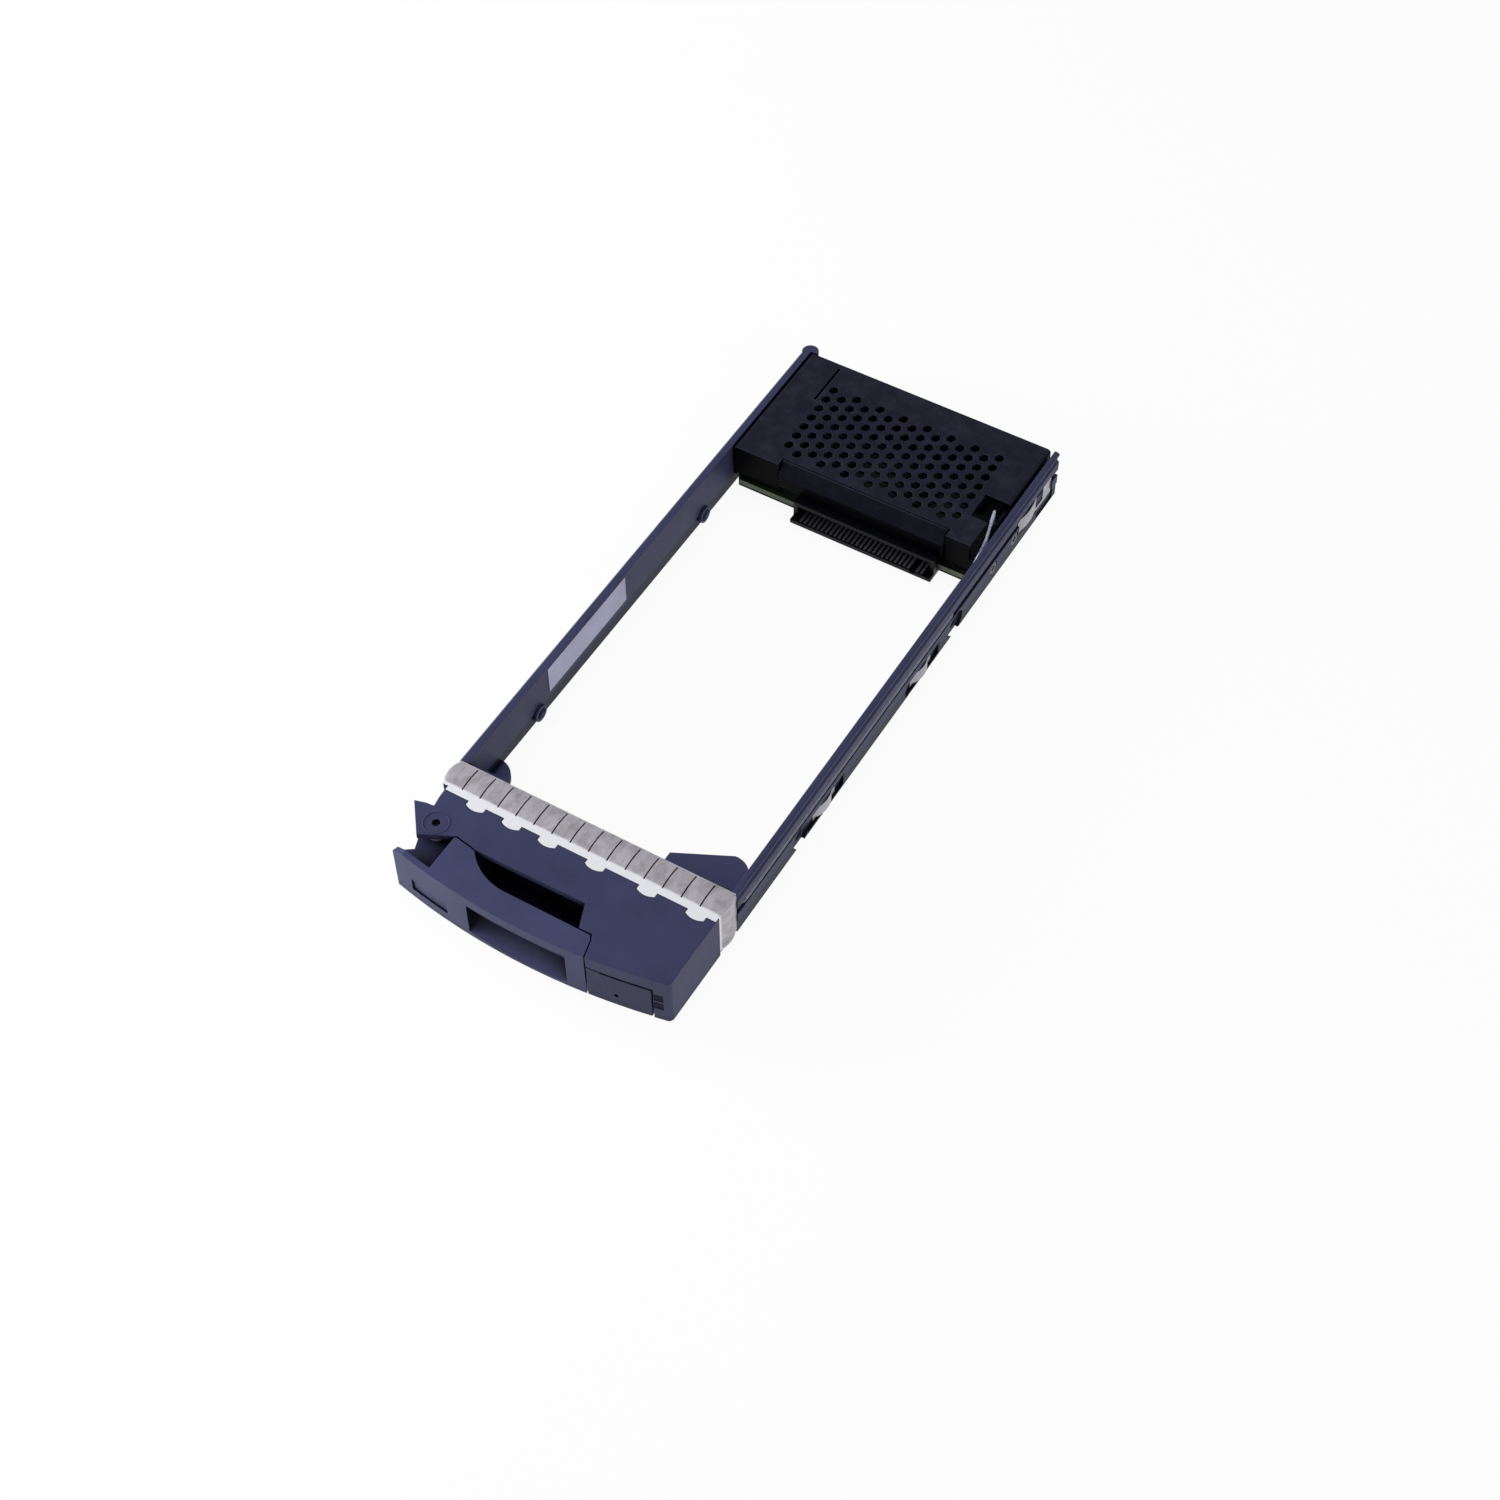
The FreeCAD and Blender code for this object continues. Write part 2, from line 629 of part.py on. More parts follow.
def bezel_cavities():
    """Rooms inside the shell for the hub, the fingers and the latch, and the crossbar's rear pockets."""
    top = HEIGHT - SKIN
    px, py = PIVOT
    room_left, room_right = LATCH_ROOM_X
    hub_room = LEVER_HUB_R + RUN_GAP
    low_z = (FLOOR, EAR_UNDERSIDE)
    arm_z = (ARM_Z[0] - 1.2, ARM_Z[1] + 1.8)
    clear_y = front_y(0) - 1
    cavities = [
        cylinder((px, py, FLOOR), (0, 0, 1), hub_room, EAR_UNDERSIDE - FLOOR),
        box(px - EAR_REACH, px + 4, clear_y, py + 3.8, *low_z),
        box(px, OPENING_X0 - 0.6, clear_y, py - 0.6, *low_z),
        box(OPENING_X0 + 0.7, OPENING_X1 + 1.3, SEAM_Y - 1, POCKET_REAR_Y, FLOOR, top),
        box(room_left, room_right, SEAM_Y + 1.2, LATCH_ROOM_REAR_Y, FLOOR, top),
        box(BUTTON_X[0] - RUN_GAP, room_right, LATCH_ROOM_FRONT_Y, SEAM_Y + 1.3, FLOOR, top),
        box(OPENING_X1 + 1.2, LEVER_END_X + 0.1, SEAM_Y - 1.4, BARB_Y[1] + 1.7, *arm_z),
    ]
    first, last = BAR_WALL - BAR_HALF + 0.3, BAR_HALF - BAR_WALL + 0.3
    pitch = (last - first + BAR_RIB) / BAR_POCKETS
    for i in range(BAR_POCKETS):
        x0 = first + i * pitch
        x1 = x0 + pitch - BAR_RIB
        stop = POCKET_REAR_Y + SKIN
        if x1 > room_left - SKIN:
            stop = LATCH_ROOM_REAR_Y + SKIN
        if x0 < px + hub_room + SKIN:
            stop = LEFT_POCKET_Y
        cavities.append(box(x0, x1, stop, BAR_DEPTH + 1, BAR_WALL, BAR_TOP - BAR_WALL))
    return cavities


def bezel_bosses():
    """Screw bosses in the crossbar, the return spring's seat and the pawl pin's bosses."""
    bosses = []
    for x, start in ((-FOOT_SCREW_X, LEFT_POCKET_Y), (FOOT_SCREW_X, LATCH_ROOM_REAR_Y + SKIN)):
        for z in FOOT_SCREWS_Z:
            bosses.append(cylinder((x, start - 0.1, z), (0, 1, 0), FOOT_BOSS_R, BAR_DEPTH - start + 0.1))
    seat_x, seat_half = RETURN_SPRING_X, RETURN_SPRING_R + 0.7
    seat_y = BUTTON_BACK_Y + RETURN_ROOM
    seat_top = RETURN_SPRING_Z + RETURN_SPRING_R + 1.5
    seat_rear, seat_low = LATCH_ROOM_REAR_Y + 0.1, FLOOR - 0.1
    bosses.append(box(seat_x - seat_half, seat_x + seat_half, seat_y, seat_rear, seat_low, seat_top))
    for z0, z1 in ((FLOOR - 0.1, PAWL_Z[0] - RUN_GAP), (PAWL_Z[1] + RUN_GAP, HEIGHT - SKIN + 0.1)):
        bosses.append(cylinder((*PAWL_PIVOT, z0), (0, 0, 1), PAWL_HUB_R, z1 - z0))
    return bosses


def button_opening():
    """Room for the button in the bezel's front, with the floor's edge behind the button's skirt."""
    x0, x1 = LEVER_END_X, BUTTON_X[1] + BUTTON_SIDE_GAP
    inset = BUTTON_SKIN + RUN_GAP + BUTTON_TRAVEL
    front = box(x0, x1, front_y(0) - 1, LATCH_ROOM_FRONT_Y + 0.1, FLOOR - 0.1, BUTTON_Z[1] + BUTTON_TOP_GAP)
    return [front, plan(ahead_of_arc(x0, x1, inset), -1, FLOOR)]


def bezel_body():
    floor_right = BUTTON_X[0] - 1.0
    shell = joined(
        [
            plan(bezel_outline(), 0, HEIGHT),
            plan(behind_arc(PIVOT[0], floor_right, SKIRT + RUN_GAP, POCKET_REAR_Y), 0, FLOOR),
            box(-BAR_HALF, BAR_HALF, 0, BAR_DEPTH, 0, BAR_TOP),
        ]
    )
    shell = joined([less(shell, bezel_cavities())] + bezel_bosses())
    low, high = pipe_groove_z()
    pipe_left = PIPE_BEZEL_X - PIPE_R - PIPE_GAP
    rebate_y = FLANGE_FRONT[0] - FLANGE_GAP
    pawl_pin_room = cylinder((*PAWL_PIVOT, PAWL_PIN_BOTTOM), (0, 0, 1), PAWL_PIN_R, PAWL_PIN_LENGTH)
    tools = [
        cylinder((*PIVOT, LEVER_BOTTOM), (0, 0, 1), PIN_R, HEIGHT),
        pawl_pin_room,
        box(pipe_left, LATCH_ROOM_X[1], LATCH_ROOM_REAR_Y - 1, LATCH_ROOM_REAR_Y + 3, low, high),
        box(pipe_left, BAR_HALF + 1, 3.2, BAR_DEPTH + 1, low, high),
        box(NECK_X - 3, BEZEL_HALF + 1, rebate_y, 1, BAR_TOP, HEIGHT + 1),
        box(BAR_HALF, BEZEL_HALF + 1, 0, 1, -1, HEIGHT + 1),
        *button_opening(),
    ]
    for z in LENS_Z:
        half = LENS_HEIGHT / 2
        tools.append(box(*LENS_X, front_y(0) - 1, LATCH_ROOM_FRONT_Y + 0.1, z - half, z + half))
    for x in (-FOOT_SCREW_X, FOOT_SCREW_X):
        for z in FOOT_SCREWS_Z:
            tools.append(cylinder((x, FOOT_TIP_Y - 1, z), (0, 1, 0), FOOT_SCREW_R, BAR_DEPTH))
    for x in TABS_X:
        tools.append(gasket_tab(x, FLANGE_GAP, HEIGHT + 1))
    return less(shell, tools)


def gasket_tab(x, gap, top):
    """Round-nosed tab ahead of the gasket's flange. gap widens it into the notch that takes it."""
    half = TAB_HALF + gap
    nose = FLANGE_FRONT[0] - TAB_LENGTH - gap
    shoulder = nose + 0.7
    steps = [(x - half, 0.3), (x - half, shoulder), ((x, nose), (x + half, shoulder)), (x + half, 0.3)]
    return plan(steps, BAR_TOP, top)


# Gasket
def gasket():
    t = GASKET_SHEET
    side_x = BAR_HALF + t
    top = BAR_TOP + t
    front_end = FLANGE_FRONT[1]
    rear_start = BAR_DEPTH - FLANGE_REAR
    pieces = [
        box(-side_x, side_x, 0, front_end, BAR_TOP, top),
        box(NECK_X + FLANGE_GAP, BEZEL_HALF - FLANGE_GAP, FLANGE_FRONT[0], 0.1, BAR_TOP, top),
        box(-side_x, side_x, rear_start, BAR_DEPTH, BAR_TOP, top),
    ]
    pitch = 2 * BAR_HALF / FINGER_COUNT
    middle = (front_end + rear_start) / 2
    for i in range(FINGER_COUNT):
        x0 = -BAR_HALF + i * pitch + FINGER_SLIT / 2
        bow = [
            (front_end - 0.1, top),
            ((middle, top + GASKET_RISE), (rear_start + 0.1, top)),
            (rear_start + 0.1, BAR_TOP),
            ((middle, BAR_TOP + GASKET_RISE), (front_end - 0.1, BAR_TOP)),
        ]
        pieces.append(side(bow, x0, x0 + pitch - FINGER_SLIT))
    for x in TABS_X:
        pieces.append(gasket_tab(x, 0.0, top))
    low, high = SIDE_FINGER_Z, BAR_TOP - 0.6
    for sign in (-1, 1):
        inner, outer = sign * BAR_HALF, sign * side_x
        x0, x1 = min(inner, outer), max(inner, outer)
        pieces.append(box(x0, x1, 0, front_end, low, top))
        pieces.append(box(x0, x1, rear_start, BAR_DEPTH, low, top))
        crest = sign * SIDE_FINGER_RISE
        bow = [
            (outer, front_end - 0.1),
            ((outer + crest, middle), (outer, rear_start + 0.1)),
            (inner, rear_start + 0.1),
            ((inner + crest, middle), (inner, front_end - 0.1)),
        ]
        pieces.append(plan(bow, low + 0.4, high))
    return joined(pieces)


# Lever
def lever_bar():
    """Full-height part of the lever: the handle's bar with its front face on the bezel's arc."""
    ear_right, ear_knee = EAR_EDGE[0], EAR_EDGE[1]
    jaw_corner_y = PIVOT[1] + ear_knee[1] - 0.65
    return [
        *seam(0.0),
        (OPENING_X0 + 12.3, LEVER_BAR_REAR_Y),
        ((OPENING_X0 + 4.7, LEVER_BAR_REAR_Y + 2.1), (OPENING_X0 + 0.3, OPENING_REAR_Y - 0.3 - RUN_GAP)),
        from_pivot(ear_right[0], ear_right[1] - RUN_GAP),
        from_pivot(ear_knee[0], ear_knee[1] - RUN_GAP - 0.05),
        (JAW_RIGHT_X, jaw_corner_y),
        (JAW_RIGHT_X, front_y(JAW_RIGHT_X)),
        across(JAW_RIGHT_X, LEVER_END_X, 0),
    ]


def lever_web():
    """Low web that joins the hub to the tip, with the floor of the cam's jaw on it."""
    inside = JAW_RIGHT_X + 1
    return [
        (inside, front_y(inside)),
        (inside, PIVOT[1] - 1.6),
        pin_point(LEVER_HUB_R, -12),
        pin_point(LEVER_HUB_R, 215),
        *[from_pivot(*point) for point in JAW_FLOOR_EDGE],
        (LEVER_TIP_X, front_y(LEVER_TIP_X)),
        across(LEVER_TIP_X, inside, 0),
    ]


def lever_tip_wall():
    """Thin front wall of the jaw, standing to the lever's full height."""
    inside = JAW_RIGHT_X + 0.5
    tip = LEVER_TIP_X
    return [
        (inside, front_y(inside)),
        (inside, front_y(inside, TIP_WALL)),
        across(inside, tip + 0.6, TIP_WALL),
        (tip, front_y(tip)),
        across(tip, inside, 0),
    ]


def lever_latch_arm():
    """Arm behind the bar's right end, with the barb that the pawl holds."""
    arm = box(*ARM_X, LEVER_BAR_REAR_Y - 0.5, BARB_Y[1], *ARM_Z)
    root = ARM_X[1] - 0.1
    barb = [(root, BARB_Y[0]), (BARB_TIP_X, BARB_Y[0]), (BARB_TIP_X, BARB_Y[0] + 0.5), (root, BARB_Y[1])]
    return arm.fuse(plan(barb, *ARM_Z))


def tip_bevel():
    """Wedge that lowers the top of the jaw's wall toward the tip."""
    run = 3.3
    fall = TIP_SLOPE / run
    x0, x1 = LEVER_TIP_X - 1, LEVER_TIP_X + run
    above = LEVER_TOP + 1
    corners = [(x0, LEVER_TOP - TIP_SLOPE - fall), (x1, LEVER_TOP), (x1, above), (x0, above)]
    return cross(corners, front_y(0) - 1, PIVOT[1])


def cam_lever():
    web_z = LEVER_WEB
    start, end = LEVER_TIP_X - 1, LEVER_END_X + 1
    under_bar = plan(behind_arc(start, end, SKIRT, PIVOT[1] + 1), LEVER_BOTTOM - 1, HUB_BOTTOM)
    wall = plan(lever_tip_wall(), LEVER_BOTTOM, LEVER_TOP).cut(tip_bevel())
    hub = cylinder((*PIVOT, HUB_BOTTOM), (0, 0, 1), LEVER_HUB_R, web_z[1] - HUB_BOTTOM)
    bar = plan(lever_bar(), LEVER_BOTTOM, LEVER_TOP).cut(under_bar)
    body = joined([bar, plan(lever_web(), *web_z), wall, hub, lever_latch_arm()])
    panel_x = (PIVOT[0] + 0.3, PIVOT[0] + 0.3 + PANEL_LENGTH)
    tools = [
        cylinder((*PIVOT, 0), (0, 0, 1), PIN_R + PIN_GAP, HEIGHT),
        lever_window(),
        plan(ahead_of_arc(*panel_x, PANEL_DEPTH), *PANEL_Z),
    ]
    return less(body, tools)


def lever_window():
    """Finger recess in the lever's front, with a floor that slopes down to the front edge."""
    x0, x1 = JAW_RIGHT_X + WINDOW_MARGINS[0], LEVER_END_X - WINDOW_MARGINS[1]
    z0, z1 = WINDOW_Z
    front = front_y(0) - 1
    back = front_y(0) + WINDOW_DEPTH
    slope = (WINDOW_BACK_BOTTOM - z0) / WINDOW_DEPTH
    steps = [(front, z0 - slope), (back, WINDOW_BACK_BOTTOM), (back, z1), (front, z1)]
    return side(steps, x0, x1)


# Springs and pins
def coil(radius, pitch, turns, wire_r):
    """Round-wire coil along +Z from the origin."""
    path = Part.Wire(Part.makeHelix(pitch, pitch * turns, radius).Edges)
    ring = Part.Wire(Part.makeCircle(wire_r, V(radius, 0, 0), V(0, 1, pitch / (2 * math.pi * radius))))
    return path.makePipeShell([ring], True, True)


def torsion_spring():
    """Coil on the pin between the lever's hub and the ear."""
    pitch = (HUB_TO_EAR - 2 * COIL_GAP - 2 * WIRE_R) / TORSION_TURNS
    spring = coil(TORSION_R, pitch, TORSION_TURNS, WIRE_R)
    spring.translate(V(*PIVOT, HUB_TOP + COIL_GAP + WIRE_R))
    return spring


def lever_pin():
    return cylinder((*PIVOT, LEVER_BOTTOM), (0, 0, 1), PIN_R, HEIGHT - PIN_RECESS - LEVER_BOTTOM)


def pawl_pin():
    return cylinder((*PAWL_PIVOT, PAWL_PIN_BOTTOM), (0, 0, 1), PAWL_PIN_R, PAWL_PIN_LENGTH)


def return_spring():
    pitch = (RETURN_ROOM - 2 * COIL_GAP - 2 * WIRE_R) / RETURN_TURNS
    spring = coil(RETURN_SPRING_R, pitch, RETURN_TURNS, WIRE_R)
    spring.rotate(V(0, 0, 0), V(1, 0, 0), -90)
    spring.translate(V(RETURN_SPRING_X, BUTTON_BACK_Y + WIRE_R + COIL_GAP, RETURN_SPRING_Z))
    return spring


# Button and pawl
def release_button():
    x0, x1 = BUTTON_X
    z0, z1 = BUTTON_Z
    back = LATCH_ROOM_FRONT_Y + 0.5
    floor_clear = FLOOR + RUN_GAP
    face = plan(behind_arc(x0, x1, 0, back), z0, z1)
    tools = [
        plan(behind_arc(x0 - 1, x1 + 1, BUTTON_SKIN, back + 1), -1, floor_clear),
        box(x0 + BUTTON_STEP, x1 + 1, front_y(0) - 1, back - 0.5, z1 - BUTTON_STEP_DEPTH, z1 + 1),
    ]
    flange = box(x0, x1, LATCH_ROOM_FRONT_Y + 0.2, BUTTON_BACK_Y, floor_clear, z1 + BUTTON_FLANGE)
    stem_z = (PAWL_Z[0] + 0.5, PAWL_Z[1] - 0.5)
    stem = box(STEM_X - STEM_HALF, STEM_X + STEM_HALF, BUTTON_BACK_Y - 0.1, stem_tip_y(), *stem_z)
    dimple_x = BEZEL_HALF - DIMPLE_OFFSET
    dimple = cylinder((dimple_x, front_y(dimple_x) - 1, DIMPLE_Z), (0, 1, 0), DIMPLE_R, 1 + DIMPLE_DEPTH)
    return less(joined([less(face, tools), flange, stem]), [dimple])


def stem_tip_y():
    return PAWL_PIVOT[1] - PAWL_HUB_R - PUSH_GAP - 0.6


def latch_pawl():
    px, py = PAWL_PIVOT
    hub = cylinder((px, py, PAWL_Z[0]), (0, 0, 1), PAWL_HUB_R, PAWL_Z[1] - PAWL_Z[0])
    nose_x = BARB_TIP_X + NOSE_GAP
    hook = plan(
        [
            (px - PAWL_HUB_R, py),
            (px - 2.6, BARB_Y[0] - 0.6),
            (nose_x, BARB_Y[0] - 0.6),
            (nose_x, BARB_Y[0] - 2.0),
            (px - 1.4, BARB_Y[0] - 2.0),
            (px + 0.8, py - 1.8),
        ],
        *PAWL_Z,
    )
    push_y = stem_tip_y() + PUSH_GAP
    end = px + PAWL_ARM
    arm = plan([(px, py - 2.0), (end - 1.2, push_y), (end + 1.2, push_y), (px + 2.0, py + 0.6)], *PAWL_Z)
    bore = cylinder((px, py, 0), (0, 0, 1), PAWL_PIN_R + PIN_GAP, HEIGHT)
    return less(joined([hub, hook, arm]), [bore])


# Lenses and light pipes
def lens(z):
    half = LENS_HEIGHT / 2
    return plan(behind_arc(*LENS_X, 0.1, LATCH_ROOM_FRONT_Y), z - half, z + half)


def light_pipe(window_z, level):
    """Clear rod from a lens, along and through the right rail, and down to the board in the cage."""
    x = PIPE_BEZEL_X
    groove_x = HALF - PIPE_GROOVE_DEPTH + PIPE_R + PIPE_GAP / 2
    inside_x = RAIL_INNER - PIPE_R - PIPE_GAP / 2
    rail_z = PIPE_Z + level * PIPE_PITCH
    top_z = PIPE_TOP_Z + level * PIPE_PITCH
    cross_y = DRIVE_HOLES_Y[1] - PIPE_CROSS
    drop_x, drop_y = CAGE_HALF - PIPE_DROP[0], COVER_FRONT_Y + PIPE_DROP[1] + level * PIPE_PITCH
    route = [
        V(x, LATCH_ROOM_FRONT_Y, window_z),
        V(x, LATCH_ROOM_FRONT_Y + 6, window_z),
        V(x, LATCH_ROOM_REAR_Y - 1, rail_z),
        V(x, 4.5, rail_z),
        V(groove_x, BAR_DEPTH + 4, rail_z),
        V(groove_x, cross_y, rail_z),
        V(inside_x, cross_y + 6, rail_z),
        V(inside_x, COVER_FRONT_Y - PIPE_RISE, rail_z),
        V(inside_x, COVER_FRONT_Y + PIPE_RISE, top_z),
        V(drop_x, drop_y, top_z),
        V(drop_x, drop_y, BOARD_TOP + PIPE_GAP),
    ]
    direction = route[1] - route[0]
    ring = Part.Wire(Part.makeCircle(PIPE_R, route[0], direction))
    shell = Part.BRepOffsetAPI.MakePipeShell(Part.makePolygon(route))
    shell.setTransitionMode(1)
    shell.add(ring)
    shell.build()
    shell.makeSolid()
    return shell.shape()


# Cage
def hex_hole(x, y):
    radius = HOLE_ACROSS / math.sqrt(3)
    turns = [math.radians(60 * k) for k in range(6)]
    points = [(x + radius * math.cos(turn), y + radius * math.sin(turn)) for turn in turns]
    return plan(points, COVER_TOP - SHEET - 0.5, COVER_TOP + 0.5)


def cover_flap():
    """Sloping lip over the drive connector, ahead of the cover's front wall."""
    top, under = COVER_TOP, COVER_TOP - SHEET
    run, fall = FLAP_SLOPE
    length = math.hypot(run, fall)
    back_y, front = COVER_FRONT_Y + run - FLAP_REACH, COVER_FRONT_Y - FLAP_REACH
    shift_y, shift_z = SHEET * fall / length, SHEET * run / length
    inner_back = back_y + shift_y - (SHEET - shift_z) * run / fall
    inner_knee = top - shift_z - (back_y + shift_y - front - SHEET) * fall / run
    return side(
        [
            (inner_back + 0.5, top),
            (back_y, top),
            (front, top - fall),
            (front, FLAP_BOTTOM),
            (front + SHEET, FLAP_BOTTOM),
            (front + SHEET, inner_knee),
            (inner_back, under),
            (inner_back + 0.5, under),
        ],
        *FLAP_X,
    )


def cover_holes():
    columns = int((2 * CAGE_HALF - sum(HOLE_MARGIN_X)) / HOLE_COLUMN_PITCH) + 1
    rows = int((CAGE_LENGTH - sum(HOLE_MARGIN_Y) - HOLE_ROW_PITCH / 2) / HOLE_ROW_PITCH) + 1
    holes = []
    for column in range(columns):
        shift = 0.0 if column % 2 else HOLE_ROW_PITCH / 2
        for row in range(rows):
            y = COVER_FRONT_Y + HOLE_MARGIN_Y[0] + shift + row * HOLE_ROW_PITCH
            holes.append(hex_hole(HOLE_MARGIN_X[0] - CAGE_HALF + column * HOLE_COLUMN_PITCH, y))
    return holes


def cage_cover():
    outer, inner = CAGE_HALF, TRAY_HALF
    top, under = COVER_TOP, COVER_TOP - SHEET
    bend, small = COVER_BEND, COVER_BEND - SHEET
    s = math.sqrt(0.5)
    front = COVER_FRONT_Y
    sheet = cross(
        [
            (-outer, COVER_SKIRT_Z),
            (-outer, top - bend),
            ((-outer + bend - bend * s, top - bend + bend * s), (-outer + bend, top)),
            (outer - bend, top),
            ((outer - bend + bend * s, top - bend + bend * s), (outer, top - bend)),
            (outer, COVER_SKIRT_Z),
            (inner, COVER_SKIRT_Z),
            (inner, top - bend),
            ((inner - small + small * s, top - bend + small * s), (inner - small, under)),
            (-inner + small, under),
            ((-inner + small - small * s, top - bend + small * s), (-inner, top - bend)),
            (-inner, COVER_SKIRT_Z),
        ],
        front,
        CAGE_REAR_Y,
    )
    wall = box(-inner, inner, front, front + SHEET, COVER_WALL_Z, under + 0.1)
    flap_back = front + FLAP_SLOPE[0] - FLAP_REACH + SHEET
    flap_sides = (FLAP_X[0] - FLAP_SLIT, FLAP_X[1] + FLAP_SLIT)
    flap_room = box(*flap_sides, front - 1, flap_back, COVER_WALL_Z - 1, top + 1)
    cover = joined([less(joined([sheet, wall]), [flap_room]), cover_flap()])
    slit_x = SLIT_MARGIN - outer - SLIT_WIDTH / 2
    slit_end = CAGE_REAR_Y - SLIT_REAR
    notch_y = (front + NOTCH_Y[0], front + NOTCH_Y[1])
    notch_bottom = top - NOTCH_DEPTH
    groove_y = flap_back - FLAP_GROOVE
    tools = [
        box(slit_x, slit_x + SLIT_WIDTH, slit_end - SLIT_LENGTH, slit_end, under - 1, top + 1),
        box(outer - NOTCH_MARGIN, outer + 1, *notch_y, notch_bottom, top + 1),
        box(outer - CHANNEL_MARGIN, outer + 1, front - 1, notch_y[0] + 0.1, notch_bottom, top + 1),
        box(*FLAP_X, groove_y, groove_y + FLAP_GROOVE, top - FLAP_GROOVE, top + 1),
        *cover_holes(),
    ]
    for sign in (-1, 1):
        for y in CAGE_SCREWS_Y:
            start = (sign * (TRAY_HALF - 1), y, CAGE_SCREW_Z)
            tools.append(cylinder(start, (sign, 0, 0), CAGE_SCREW_R, SHEET + 3))
    return less(cover, tools)


def cage_tray():
    front, rear = COVER_FRONT_Y + SHEET + TOP_GAP, CAGE_REAR_Y
    floor_top = TRAY_Z + SHEET
    pieces = [
        box(-TRAY_HALF, TRAY_HALF, front, rear, TRAY_Z, floor_top),
        box(-TRAY_HALF, -TRAY_HALF + SHEET, front, rear, TRAY_Z, TRAY_WALL_TOP),
        box(TRAY_HALF - SHEET, TRAY_HALF, front, rear, TRAY_Z, TRAY_WALL_TOP),
        box(-TRAY_HALF, TRAY_HALF, rear - SHEET, rear, TRAY_Z, TRAY_WALL_TOP),
    ]
    for x in (-STANDOFF_X, STANDOFF_X):
        for y in STANDOFFS_Y:
            foot_z = floor_top - 0.1
            pieces.append(cylinder((x, y, foot_z), (0, 0, 1), STANDOFF_R, BOARD_Z - foot_z))
    tools = []
    for sign in (-1, 1):
        for y in CAGE_SCREWS_Y:
            tools.append(cylinder((sign * (TRAY_HALF - 3), y, CAGE_SCREW_Z), (sign, 0, 0), CAGE_SCREW_R, 6))
    for x in (-STANDOFF_X, STANDOFF_X):
        for y in STANDOFFS_Y:
            tools.append(cylinder((x, y, floor_top + 0.2), (0, 0, 1), CAGE_SCREW_R, 5))
    half = CONNECTOR_WIDTH / 2
    tools.append(box(CONNECTOR_X - half, CONNECTOR_X + half, rear - 2, rear + 1, *CONNECTOR_Z))
    return less(joined(pieces), tools)


# Board, connectors and what is on them
def interposer_board():
    half = CONNECTOR_WIDTH / 2
    board = box(-BOARD_HALF, BOARD_HALF, BOARD_FRONT_Y, BOARD_REAR_Y, BOARD_Z, BOARD_TOP)
    tools = [
        box(CONNECTOR_X - half, CONNECTOR_X + half, BOARD_FRONT_Y - 1, CONNECTOR_Y[1], 0, HEIGHT),
        box(CONNECTOR_X - half, CONNECTOR_X + half, PLUG_Y[0], BOARD_REAR_Y + 1, 0, HEIGHT),
    ]
    for x in (-STANDOFF_X, STANDOFF_X):
        for y in STANDOFFS_Y:
            tools.append(cylinder((x, y, 0), (0, 0, 1), CAGE_SCREW_R, HEIGHT))
    return less(board, tools)


def housing(mouth, back):
    """Connector housing that opens toward mouth, with a lower lip that stands ahead of its slot."""
    half = CONNECTOR_WIDTH / 2
    z0, z1 = CONNECTOR_Z
    wall = CONNECTOR_WALL
    inward = 1 if back > mouth else -1
    step_y = mouth + inward * CONNECTOR_LIP
    end_y = step_y + inward * SLOT_DEPTH
    shell = side(
        [(mouth, z0), (mouth, z0 + wall), (step_y, z0 + wall), (step_y, z1), (back, z1), (back, z0)],
        CONNECTOR_X - half,
        CONNECTOR_X + half,
    )
    y0, y1 = sorted((mouth, end_y))
    slot = box(CONNECTOR_X - half + wall, CONNECTOR_X + half - wall, y0, y1, z0 + wall, z1 - wall)
    key_x = CONNECTOR_X + half - KEY_INSET
    key = box(key_x, key_x + KEY_WIDTH, y0, y1, z0 + wall / 2, z1 - wall)
    return less(shell, [slot, key])


def contacts(mouth, back):
    """Row of flat contacts on the housing's lip, one solid each."""
    room = CONNECTOR_WIDTH - 2 * (CONNECTOR_WALL + CONTACT_MARGIN) - CONTACT_WIDTH
    steps = int(room / CONTACT_PITCH)
    start = CONNECTOR_X - CONTACT_PITCH * steps / 2 - CONTACT_WIDTH / 2
    inward = 1 if back > mouth else -1
    y0, y1 = sorted((mouth + inward * CONTACT_SET, mouth + inward * (CONNECTOR_LIP + SLOT_DEPTH)))
    z = CONNECTOR_Z[0] + CONNECTOR_WALL
    key_x = CONNECTOR_X + CONNECTOR_WIDTH / 2 - KEY_INSET
    row = []
    for i in range(steps + 1):
        x = start + i * CONTACT_PITCH
        if x > key_x + KEY_WIDTH or x + CONTACT_WIDTH < key_x:
            row.append(box(x, x + CONTACT_WIDTH, y0, y1, z, z + CONTACT_THICKNESS))
    return Part.makeCompound(row)


def chips():
    packages = []
    for x, y, width, depth, height in CHIPS:
        x0, y0 = x - width / 2, BOARD_MIDDLE_Y + y - depth / 2
        packages.append(box(x0, x0 + width, y0, y0 + depth, BOARD_TOP, BOARD_TOP + height))
    return Part.makeCompound(packages)


def label():
    face = -RAIL_INNER
    return box(face, face + LABEL_THICKNESS, *LABEL_Y, LABEL_BOTTOM, HEIGHT - LABEL_BROW)


# Screws
def screw(tip, axis, shank_length, shank_r, head_r):
    """Shank from its tip along an axis, with a flat head on its end."""
    seat = V(*tip) + V(*axis) * shank_length
    shank = cylinder(tip, axis, shank_r, shank_length + 0.1)
    return shank.fuse(cylinder(tuple(seat), axis, head_r, HEAD_THICKNESS))


